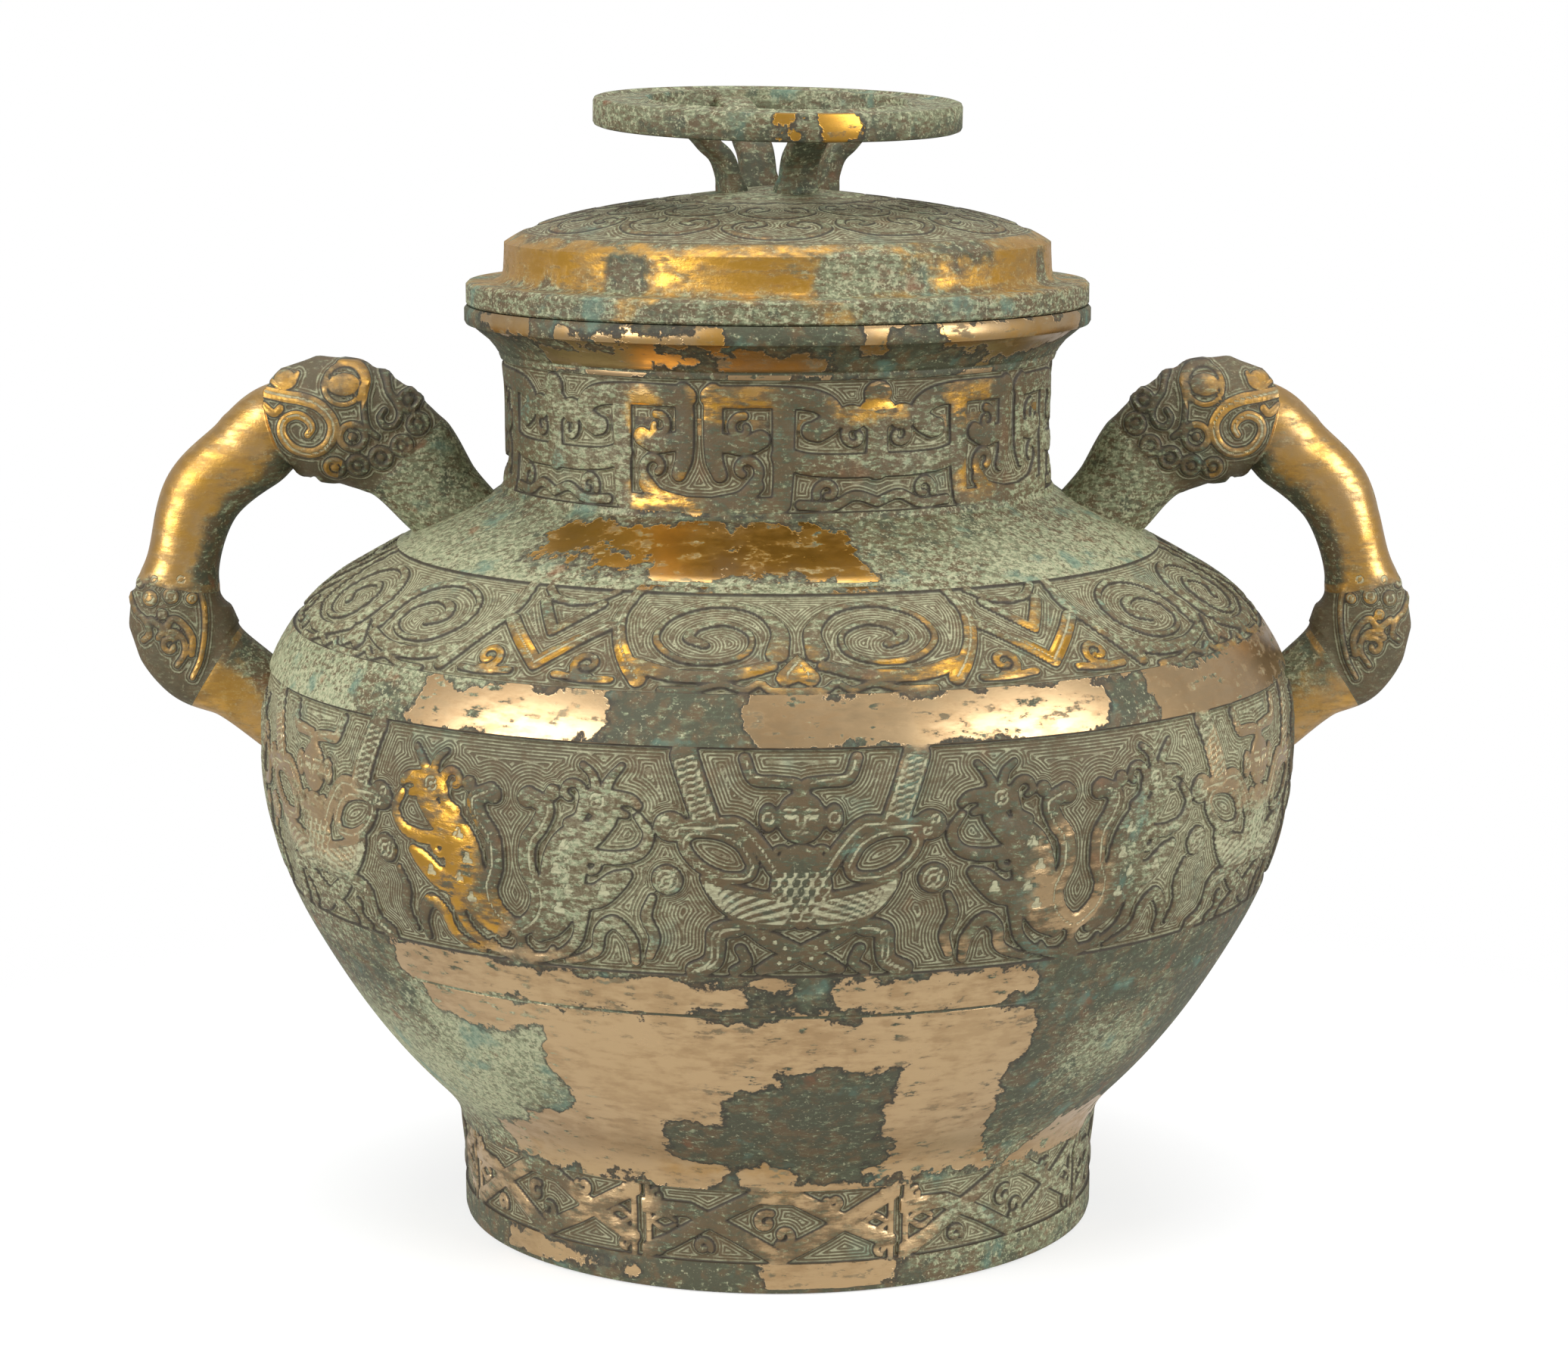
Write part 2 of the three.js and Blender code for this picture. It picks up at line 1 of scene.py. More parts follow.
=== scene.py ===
# %% [markdown]
# A jar of gilt bronze with a lid, in the manner of the ritual vessels of ancient China. A round bowl
# stands on a tall foot ring, four carved bands run round it, two loops spring from beasts' heads, and a
# stepped lid carries a ring knob on four flared struts. Centuries in the ground have turned most of the
# gilding to brown and green. This lesson dresses the imported solids with the fine relief and the finish.
# %% Load the solids
import math

import bpy
import numpy as np
from mathutils import Matrix, Vector


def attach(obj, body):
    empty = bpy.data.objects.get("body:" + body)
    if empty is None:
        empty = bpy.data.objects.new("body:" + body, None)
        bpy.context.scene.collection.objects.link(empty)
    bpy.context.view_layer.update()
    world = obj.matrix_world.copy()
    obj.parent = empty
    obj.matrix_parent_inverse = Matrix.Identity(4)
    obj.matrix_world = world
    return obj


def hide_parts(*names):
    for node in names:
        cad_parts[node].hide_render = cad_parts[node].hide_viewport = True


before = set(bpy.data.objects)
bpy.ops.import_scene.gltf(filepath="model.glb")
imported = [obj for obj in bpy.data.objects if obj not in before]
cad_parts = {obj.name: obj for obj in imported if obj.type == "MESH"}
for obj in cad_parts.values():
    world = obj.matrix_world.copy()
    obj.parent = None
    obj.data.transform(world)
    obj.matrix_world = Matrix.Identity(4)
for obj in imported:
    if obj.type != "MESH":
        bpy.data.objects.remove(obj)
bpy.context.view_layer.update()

MM = 0.001


def add_object(name, data):
    made = bpy.data.objects.new(name, data)
    bpy.context.scene.collection.objects.link(made)
    return made


# %% [markdown]
# The camera stands a little above the shoulder, far enough back for a long lens. Its place, pitch and
# lens come from fitting the ellipses of the rim, the lid and the foot.
# %% Camera
CAMERA_PLACE = (0.002, -1.2, 0.374)
CAMERA_PITCH = math.radians(9.66)
PICTURE_WIDTH = 2072
FOCAL_PIXELS = 5089
SENSOR_WIDTH = 36

camera_data = bpy.data.cameras.new("camera")
camera_data.sensor_width = SENSOR_WIDTH
camera_data.lens = FOCAL_PIXELS / PICTURE_WIDTH * SENSOR_WIDTH
camera = add_object("camera", camera_data)
camera.location = CAMERA_PLACE
camera.rotation_euler = (math.pi / 2 - CAMERA_PITCH, 0, 0)
bpy.context.scene.camera = camera
print("lens", round(camera_data.lens, 2), "mm")

# %% [markdown]
# Polished gilding shows what stands round it, so the studio matters as much as the metal. The room in
# front is dim and brown gold reflects it. A tall panel on each side draws the long highlights on the
# belly's plain band, the rim and the handles. Behind the jar the picture is pure white.
# %% Studio: room and panels
DIM_ROOM = (0.50, 0.51, 0.52)
# Name, place in metres, width, height and watts
PANELS = [
    ("left_panel", (-1.45, -1.00, 0.75), 1.0, 1.5, 30),
    ("right_panel", (1.50, -0.95, 0.75), 1.0, 1.5, 28),
    ("top_panel", (0.0, 0.1, 1.9), 1.6, 1.4, 20),
]
AIM = Vector((0, 0, 0.2))


def panel(name, place, width, height, watts):
    light = bpy.data.lights.new(name, "AREA")
    light.shape = "RECTANGLE"
    light.size, light.size_y = width, height
    light.energy = watts
    lamp = add_object(name, light)
    lamp.location = place
    lamp.rotation_euler = (AIM - Vector(place)).to_track_quat("-Z", "Y").to_euler()


def white_behind():
    """A world that lights the jar dimly and shows the camera pure white."""
    room = bpy.data.worlds.new("room")
    room.use_nodes = True
    nodes, links = room.node_tree.nodes, room.node_tree.links
    nodes.clear()
    dim = nodes.new("ShaderNodeBackground")
    dim.inputs["Color"].default_value = (*DIM_ROOM, 1)
    white = nodes.new("ShaderNodeBackground")
    white.inputs["Color"].default_value = (1, 1, 1, 1)
    path = nodes.new("ShaderNodeLightPath")
    choose = nodes.new("ShaderNodeMixShader")
    output = nodes.new("ShaderNodeOutputWorld")
    links.new(path.outputs["Is Camera Ray"], choose.inputs[0])
    links.new(dim.outputs[0], choose.inputs[1])
    links.new(white.outputs[0], choose.inputs[2])
    links.new(choose.outputs[0], output.inputs["Surface"])
    bpy.context.scene.world = room


for setting in PANELS:
    panel(*setting)
white_behind()
bpy.context.scene.view_settings.view_transform = "Standard"
print("panels", [setting[0] for setting in PANELS])

# %% [markdown]
# A finish is a sum of many small decisions: where the gilding holds, where it is rubbed, where the green
# has grown over it. Written as node links that sum is hard to read, so a small class lets a shader value
# be used in a Python expression, and adds the Math node that each sign stands for. The geometry of the
# knob below is written the same way.
# %% Shader values as expressions
class Value:
    """One output of a node. Signs on it add Math nodes."""

    def __init__(self, nodes, socket):
        self.nodes = nodes
        self.socket = socket

    def math(self, operation, *given):
        sockets = dict(enumerate(given))
        return self.nodes.node("ShaderNodeMath", {"operation": operation}, sockets)

    def __add__(self, other):
        return self.math("ADD", self, other)

    def __sub__(self, other):
        return self.math("SUBTRACT", self, other)

    def __rsub__(self, other):
        return self.math("SUBTRACT", other, self)

    def __mul__(self, other):
        return self.math("MULTIPLY", self, other)

    def __truediv__(self, other):
        return self.math("DIVIDE", self, other)

    __radd__ = __add__
    __rmul__ = __mul__

    def fraction(self):
        return self.math("FRACT", self)

    def size(self):
        return self.math("ABSOLUTE", self)

    def rise(self, low, high):
        """0 below low, 1 above high and a smooth slope between. It falls when low is the larger."""
        if low < high:
            settings = {"interpolation_type": "SMOOTHSTEP"}
            sockets = {"Value": self, "From Min": low, "From Max": high}
            return self.nodes.node("ShaderNodeMapRange", settings, sockets)
        return 1 - self.rise(high, low)


class Nodes:
    """A node tree under construction."""

    def __init__(self, tree):
        self.tree = tree

    def node(self, kind, settings, sockets, out=0):
        made = self.tree.nodes.new(kind)
        for name, setting in settings.items():
            setattr(made, name, setting)
        for key, value in sockets.items():
            if isinstance(value, Value):
                self.tree.links.new(value.socket, made.inputs[key])
            else:
                made.inputs[key].default_value = value
        return Value(self, made.outputs[out])

    def end(self, kind, socket, value):
        output = self.tree.nodes.new(kind)
        self.tree.links.new(value.socket, output.inputs[socket])


class Finish(Nodes):
    """A material under construction."""

    def __init__(self, name):
        self.material = bpy.data.materials.new(name)
        self.material.use_nodes = True
        super().__init__(self.material.node_tree)
        self.tree.nodes.clear()
        self.place = self.node("ShaderNodeTexCoord", {}, {}, "Object")

    def field(self, name):
        return self.node("ShaderNodeAttribute", {"attribute_name": name}, {}, "Fac")

    def noise(self, scale, detail=3.0, rough=0.55, stretch=(1, 1, 1), shift=0.0):
        """Noise with features of about 1 / scale metres, from 0 to 1, drawn out by stretch."""
        sockets = {"Vector": self.place, "Scale": stretch, "Location": (shift, shift, shift)}
        placed = self.node("ShaderNodeMapping", {}, sockets)
        sockets = {"Vector": placed, "Scale": scale, "Detail": detail, "Roughness": rough}
        return self.node("ShaderNodeTexNoise", {}, sockets)

    def mix(self, share, first, second):
        colour = [value if isinstance(value, Value) else (*value, 1) for value in (first, second)]
        sockets = {0: share, 6: colour[0], 7: colour[1]}
        return self.node("ShaderNodeMix", {"data_type": "RGBA"}, sockets, 2)

    def done(self, sockets):
        """Ends in one Principled shader and gives the material."""
        self.end("ShaderNodeOutputMaterial", "Surface", self.node("ShaderNodeBsdfPrincipled", {}, sockets))
        return self.material


print("expression classes ready")

# %% [markdown]
# The metal's colours. Fire gilding is tan where it lies thick and smooth, and deep orange where it
# is thin over red bronze. The bare bronze has gone olive brown, with a fibrous grey-green skin over it
# and pale verdigris where that skin is thick. The darkest brown rims the gilding and is also painted
# shade in the carving's crevices, and the pale bloom is also painted highlight on the ground's threads.
# %% Colours of the metal and its crusts
TAN_GILT = (0.545, 0.380, 0.205)
WARM_GILT = (0.640, 0.340, 0.055)
RUBBED_GILT = (0.200, 0.098, 0.028)
OLIVE_BROWN = (0.098, 0.064, 0.026)
DARK_EDGE = (0.024, 0.017, 0.009)
GREY_GREEN = (0.138, 0.142, 0.074)
DARK_GREEN = (0.040, 0.054, 0.030)
VERDIGRIS = (0.270, 0.300, 0.170)
PALE_BLOOM = (0.440, 0.425, 0.260)
TEAL = (0.095, 0.190, 0.140)
RUST = (0.200, 0.066, 0.020)

# %% [markdown]
# One recipe finishes every piece. Measured values come with the mesh, in millimetres: gilt says how far
# inside a gilded patch a point lies, pale the same for pale crust, and on carved pieces ground says how
# far a point lies from the nearest raised figure. Noise frays the patches' edges, and the chaser's lines
# in the ground are drawn at one even pitch, always parallel to the figure next to them. Those lines are
# raised and painted pale, partly pale crust and partly painted highlight, and a thin strip of ground at
# each figure's foot is painted dark as painted shade.
# %% The bronze finish
LINE_PITCH = 1.0
FRAY = 9.0
FINE_FRAY = 5.0
DRIFT = 6.0
PALE_EFFECT = 0.0045
WARM_EFFECT = 0.07


def patina(f, fibres, mottle, grain, specks, broad, patches, brown):
    """Olive bronze under a fibrous green skin, paler where the crust is thick."""
    bias = f.field("pale") * PALE_EFFECT - brown
    skin_share = (fibres * 0.75 + broad * 0.25 + bias).rise(0.42, 0.56)
    colour = f.mix(skin_share, OLIVE_BROWN, GREY_GREEN)
    dark = (mottle * 0.7 + patches * 0.3 - bias * 1.5).rise(0.50, 0.62)
    colour = f.mix(dark * 0.70, colour, DARK_GREEN)
    crust = (fibres * 0.65 + grain * 0.35 + bias).rise(0.49, 0.60)
    colour = f.mix(crust * 0.80, colour, VERDIGRIS)
    bloom = (specks * 0.5 + grain * 0.5 + bias).rise(0.50, 0.64)
    colour = f.mix(bloom * 0.75, colour, PALE_BLOOM)
    teal = f.noise(60, 4, 0.6, shift=9.2).rise(0.57, 0.70)
    colour = f.mix(teal * 0.60, colour, TEAL)
    rust = f.noise(75, 3, 0.6, shift=11.3).rise(0.62, 0.74)
    return f.mix(rust * 0.55, colour, RUST)


def bronze(name, carved, warmth=0.0, brown=0.0, contrast=1.0, worn=1.0):
    """The aged finish. carved pieces also have ground and chased values on their points.

    warmth moves the gold from tan to orange, brown thins the green skin, contrast says how much the
    carving's colours show, its painted shade and highlight too, and worn how much of the gold is rubbed off.
    """
    f = Finish(name)
    broad = f.noise(16, 3)
    patches = f.noise(55, 5, 0.62, shift=3.1)
    mottle = f.noise(170, 4, 0.6, shift=1.7)
    grain = f.noise(620, 3, 0.6)
    specks = f.noise(1500, 2, 0.5, shift=5.3)
    streaks = f.noise(120, 5, 0.62, (1, 1, 3.4), 7.9)
    fibres = f.noise(300, 5, 0.72, (1, 1, 2.8), 4.4)

    aged = patina(f, fibres, mottle, grain, specks, broad, patches, brown)
    gilt = f.field("gilt") + (patches - 0.5) * FRAY * 2 + (mottle - 0.5) * FINE_FRAY * 2
    if not carved:
        gilt = gilt + (f.noise(30, 3, 0.5, shift=6.1) - 0.5) * DRIFT * 2
    wear = (streaks * 0.45 + patches * 0.55).rise(0.45, 0.58) * worn
    rubbed = (broad * 0.5 + streaks * 0.5).rise(0.46, 0.60)
    clusters = gilt.rise(13, 5) * 0.65 + broad.rise(0.50, 0.56) * 0.5
    pits = streaks.rise(0.55, 0.60) * mottle.rise(0.45, 0.55) * clusters * worn
    warm = (patches - 0.5) * 1.6 + warmth + f.field("warm") * WARM_EFFECT
    gold = f.mix(warm.rise(0.10, 0.90), TAN_GILT, WARM_GILT)
    height = grain * 0.5 + specks * 0.25 + fibres * 0.6

    if carved:
        gold = f.mix(rubbed * 0.30 + wear * 0.45, gold, RUBBED_GILT)
        held = gilt.rise(-3.0, 3.0) * (1 - wear * 0.80)
        ground = f.field("ground")
        chased = f.field("chased")
        sunk = ground.rise(-0.10, 0.30)
        # The chaser's raised lines, painted pale: partly pale crust, partly painted highlight
        thread = ((ground / LINE_PITCH + 0.35).fraction() - 0.5).size() * 2
        threads = thread.rise(0.25, 0.80) * sunk
        # Painted shade: a thin strip of ground at each figure's foot, where the relief's wall meets it
        crevice_shade = ground.rise(-0.30, 0.20) * ground.rise(0.85, 0.35)
        cut = chased.rise(0.28, 0.0) * (1 - sunk)
        near = ground.rise(-4.8, -4.0) * fibres.rise(0.60, 0.44)
        figure = f.mix(near * 0.75, aged, OLIVE_BROWN)
        lines = f.mix(0.35 + mottle.rise(0.35, 0.60) * 0.65, aged, PALE_BLOOM)
        # Olive brown ground with the pale lines on its threads: crust colour and painted highlight together
        ground_crust_and_thread_highlights = f.mix(threads * (0.30 + fibres.rise(0.30, 0.60) * 0.70), OLIVE_BROWN, lines)
        relief = f.mix(sunk, figure, f.mix(0.30, ground_crust_and_thread_highlights, aged))
        # Painted shade: that strip is painted near black
        relief = f.mix(crevice_shade * 0.85, relief, DARK_EDGE)
        relief = f.mix(cut * (0.35 + fibres.rise(0.35, 0.60) * 0.55), relief, PALE_BLOOM)
        aged = f.mix(contrast, aged, relief)
        held = held * (1 - sunk) * (1 - cut * 0.8)
        height = height * (1 - held * 0.8) + threads * 1.3 - cut * 1.8
    else:
        gold = f.mix(rubbed * 0.18 + wear * 0.22, gold, RUBBED_GILT)
        held = gilt.rise(-0.35, 0.35)
        height = height * (1 - held * 0.93)
        edge = gilt.rise(-2.4, -0.5) * gilt.rise(1.2, 0.1)
        aged = f.mix(edge * 0.70, aged, DARK_EDGE)
    held = held * (1 - pits * 0.9)
    colour = f.mix(held, aged, gold)
    roughness = 0.29 + (1 - held) * 0.34 + (rubbed + wear) * 0.05 + (mottle - 0.5) * 0.12
    metallic = held * (1 - rubbed * 0.15)
    normal = f.node("ShaderNodeBump", {}, {"Height": height, "Strength": 0.60, "Distance": 0.45 * MM})
    return f.done({"Base Color": colour, "Roughness": roughness, "Metallic": metallic, "Normal": normal})


carved_finish = bronze("aged_carved_body", True, 0.55)
plain_finish = bronze("aged_plain_body", False, 0.0)
knob_finish = bronze("aged_knob", False, 0.45, 0.005)
lid_finish = bronze("aged_lid", True, 0.60, 0.006, 0.90, 0.55)
handle_finish = bronze("aged_handle", True, 0.36, 0.012, 0.85, 0.36)
print("finishes", [m.name for m in (carved_finish, plain_finish, knob_finish, lid_finish, handle_finish)])

# %% [markdown]
# Every piece below is a skin over rows of points, made with numpy because the rows are long. Points are
# in millimetres, turned into metres once, when the mesh is made. Values that the finish reads, such as
# gilt, are stored on the points under their own names.
# %% From rows of points to a piece
SHARP_ANGLE = math.radians(40)


def skin(rows, columns, closed_rows=False):
    """Four-sided faces over rows of points, each row a closed ring."""
    i = np.arange(rows if closed_rows else rows - 1)[:, None]
    j = np.arange(columns)[None, :]
    right = (j + 1) % columns
    above = (i + 1) % rows
    corners = [i * columns + j, i * columns + right, above * columns + right, above * columns + j]
    return np.stack([np.broadcast_to(c, (len(i), columns)) for c in corners], -1).reshape(-1, 4)


def capped_skin(rows, columns):
    """The skin, and fans from its end rows to two points that follow the last row."""
    j = np.arange(columns)
    right = (j + 1) % columns
    count = rows * columns
    last = count - columns
    low_fan = np.stack([np.full(columns, count), right, j], -1)
    high_fan = np.stack([np.full(columns, count + 1), last + j, last + right], -1)
    return [skin(rows, columns), low_fan, high_fan]


def store(mesh, values):
    """Keeps values on the points under their names, for the finish to read."""
    for key, value in values.items():
        attribute = mesh.attributes.new(key, "FLOAT", "POINT")
        attribute.data.foreach_set("value", value.astype(np.float32).ravel())


def soften(mesh):
    mesh.shade_smooth()
    mesh.set_sharp_from_angle(angle=SHARP_ANGLE)


def places_of(mesh):
    """The places of a mesh's points in metres, one a row."""
    places = np.zeros(len(mesh.vertices) * 3)
    mesh.vertices.foreach_get("co", places)
    return places.reshape(-1, 3)


def piece(name, points, face_sets, material, slot, nodes, **values):
    """A finished piece of the jar from points in millimetres, riding with the jar's one body."""
    mesh = bpy.data.meshes.new(name)
    corners = np.concatenate([faces.ravel() for faces in face_sets])
    sizes = np.concatenate([np.full(len(faces), faces.shape[1]) for faces in face_sets])
    mesh.vertices.add(len(points))
    mesh.vertices.foreach_set("co", (points * MM).astype(np.float32).ravel())
    mesh.loops.add(len(corners))
    mesh.loops.foreach_set("vertex_index", corners.astype(np.int32))
    mesh.polygons.add(len(sizes))
    mesh.polygons.foreach_set("loop_start", (np.cumsum(sizes) - sizes).astype(np.int32))
    mesh.update(calc_edges=True)
    mesh.validate()
    store(mesh, values)
    soften(mesh)
    mesh.materials.append(material)
    made = add_object(name, mesh)
    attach(made, "root")
    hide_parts(*nodes)
    print(name, len(points), "points", int((sizes - 2).sum()), "triangles")
    return made


# %% [markdown]
# The wall's outline is the same curve as the solid's: heights, radii and slopes joined by cubics.
# %% The outline of the wall
# Height, radius and the radius gained for each millimetre of height
OUTLINE = np.array([
    (0, 100.3, 0.03), (33.5, 101.9, 0.18), (47, 111, 1), (97, 147.2, 0.56), (152, 162, 0),
    (185, 155.2, -0.62), (205, 135.2, -1.75), (219, 109.5, -2), (233, 85.6, -0.15), (250, 84.8, 0),
    (266, 85.2, 0.1), (277, 89.3, 0.9), (282, 95.2, 1),
])
WALL = 5
FLOOR_Z = 25
RIM_Z, RIM_TOP, RIM_RADIUS, RIM_WIDTH = 282, 287.8, 97.2, 9
FOOT_RADIUS, FOOT_INNER = 100.3, 93.8


def outline_radius(z):
    z = np.asarray(z, float)
    end = np.clip(np.searchsorted(OUTLINE[:, 0], z), 1, len(OUTLINE) - 1)
    z0, r0, s0 = np.moveaxis(OUTLINE[end - 1], -1, 0)
    z1, r1, s1 = np.moveaxis(OUTLINE[end], -1, 0)
    span = z1 - z0
    t = np.clip((z - z0) / span, 0, 1)
    value = (2 * t**3 - 3 * t**2 + 1) * r0 + (t**3 - 2 * t**2 + t) * span * s0
    return value + (3 * t**2 - 2 * t**3) * r1 + (t**3 - t**2) * span * s1


def wall_point(z, lift):
    """Radius and height of a point of the wall, moved out along the wall's own normal."""
    slope = (outline_radius(z + 0.25) - outline_radius(z - 0.25)) / 0.5
    length = np.hypot(1, slope)
    return outline_radius(z) + lift / length, z - lift * slope / length


def around(radius, height, angles):
    """Points on rings, from radii and heights (one a row, or one a point) and angles in degrees."""
    turn = np.radians(angles)[None, :]
    radius, height = np.atleast_2d(radius.T).T, np.atleast_2d(height.T).T
    flat = np.ones_like(turn)
    return np.stack([radius * np.sin(turn), -radius * np.cos(turn), height * flat], -1)


print("greatest radius", round(float(outline_radius(np.linspace(0, 280, 500)).max()), 1), "mm")

# %% [markdown]
# Where the gilding is left. Each patch is a rounded box on the wall: the angle from the front towards
# the right handle, the height, and its half width and half height. Bare patches are cut out of them.
# The back repeats the front's patches, turned about half round and mirrored.
# %% Gilded and bare patches of the wall
# Angle in degrees, height in millimetres, half width in degrees, half height in millimetres
GILT = [
    (-26, 283.5, 17, 4), (50, 283.5, 20, 4), (-20, 276.5, 30, 3), (20, 284, 5, 4), (-62, 285, 14, 1.4),
    (-28, 261, 4, 9), (-23, 237, 8, 4.5), (-9, 266, 8, 5), (19, 265, 7, 5.5), (42, 265, 5, 7),
    (44, 240, 5, 4), (-14, 224.6, 28, 4.2), (-3, 220.5, 17, 4.6),
    (-29, 183.5, 12, 7), (17, 183.5, 20, 7), (65, 183.5, 22, 7), (-62, 150, 14, 20),
    (20.5, 202, 3.5, 9), (27, 195.5, 15, 4.5), (34, 200, 4, 7), (-16.5, 197, 3, 6), (-29, 197.5, 6, 5),
    (0, 196, 4, 4), (-37, 146, 5.5, 22), (-33, 122, 5, 8), (31, 135, 5, 18), (62, 160, 12, 14),
    (11, 172, 2, 2), (20, 117, 4, 4), (-24, 114, 12, 2), (-24, 104, 25, 5), (18, 104, 12, 5),
    (-15, 70, 15, 26), (-30, 93, 15, 6), (5, 88, 26, 9), (24, 66, 9, 27), (-22, 48, 17, 11), (24, 44, 10, 9),
    (-24, 40, 27, 6.5), (45, 41, 30, 6.5), (-62, 22, 14, 10), (12, 22, 16, 12), (-30, 22, 9, 12),
    (9, 5, 12, 5), (-40, 5, 16, 4),
]
BARE = [
    (-44, 68, 15, 13), (2, 60, 10, 12), (-3, 50, 14, 9), (9, 47, 9, 7), (42, 70, 11, 40), (-11, 183.5, 6, 9),
    (41, 183.5, 3.5, 9), (1, 104, 4, 4), (25, 282, 6, 7),
]
PALE = [
    (0, 214, 180, 9), (-70, 205, 40, 22), (-70, 150, 22, 45), (60, 215, 30, 14), (55, 150, 16, 30),
    (-42, 250, 16, 24), (75, 245, 20, 20), (-35, 80, 14, 20), (-60, 60, 25, 22), (-17, 140, 8, 30),
    (25, 245, 12, 12), (50, 22, 25, 15), (47, 74, 7, 7),
]
DARK = [
    (2, 57, 15, 16), (-11, 183.5, 6, 9), (5, 240, 18, 9), (0, 106, 180, 3), (0, 22, 9, 9), (0, 283, 180, 6),
]
WARM = [
    (-10, 224, 40, 14), (0, 252, 180, 16), (0, 40, 180, 4), (0, 200, 180, 8), (-36, 140, 8, 30),
    (0, 302, 180, 8), (0, 283, 180, 7),
]
CORNER_SHARE = 0.92
FIELD_LIMIT = 14
BACK_TURN = 168


def box_distance(angles, heights, radius, box):
    """Signed distance in millimetres to a rounded box on the wall, below zero inside."""
    centre, height, half_angle, half_height = box
    away = np.abs((angles - centre + 180) % 360 - 180)
    x = np.radians(away - half_angle) * radius
    y = np.abs(heights - height) - half_height
    corner = CORNER_SHARE * half_height
    outside = np.hypot(np.maximum(x + corner, 0), np.maximum(y + corner, 0)) - corner
    return np.where(outside > 0, outside, np.maximum(x, y))


def patch_field(angles, heights, radius, patches, holes):
    """How far inside the patches, and outside the holes in them, each point lies, in millimetres."""
    sides = [angles, BACK_TURN - angles]
    inside = np.full(np.broadcast(angles, heights).shape, -60.0)
    for side in sides:
        for box in patches:
            inside = np.maximum(inside, -box_distance(side, heights, radius, box))
    for side in sides:
        for box in holes:
            inside = np.minimum(inside, box_distance(side, heights, radius, box))
    return np.clip(inside, -FIELD_LIMIT, FIELD_LIMIT)


def painted(patches, holes=()):
    """The same for a turned piece, as a function of its angles and its profile."""
    def field(angles, profile):
        return patch_field(angles[None, :], profile[:, 1:], profile[:, :1], patches, holes)
    return field


print(len(GILT), "gilded patches and", len(BARE), "bare ones on each side")

# %% [markdown]
# A relief is drawn once, flat, in millimetres, as distances: each stroke, curl, disc or outline gives
# every point its distance to the drawn thing, and the smallest one counts. From that single distance
# come the height of the carving and, in the finish, the lines that follow it.
# %% A flat drawing made of distances
FAR = 60.0


def smooth_path(points, steps=7):
    """A Catmull-Rom curve through points. Columns past the second, such as widths, come along."""
    points = np.array(points, float)
    ends = np.vstack([2 * points[0] - points[1], points, 2 * points[-1] - points[-2]])
    t = np.linspace(0, 1, steps, endpoint=False)[:, None]
    parts = []
    for a, b, c, d in zip(ends, ends[1:], ends[2:], ends[3:]):
        parts.append(0.5 * (2 * b + (c - a) * t + (2 * a - 5 * b + 4 * c - d) * t**2
                            + (3 * b - a - 3 * c + d) * t**3))
    return np.vstack([*parts, points[-1:]])


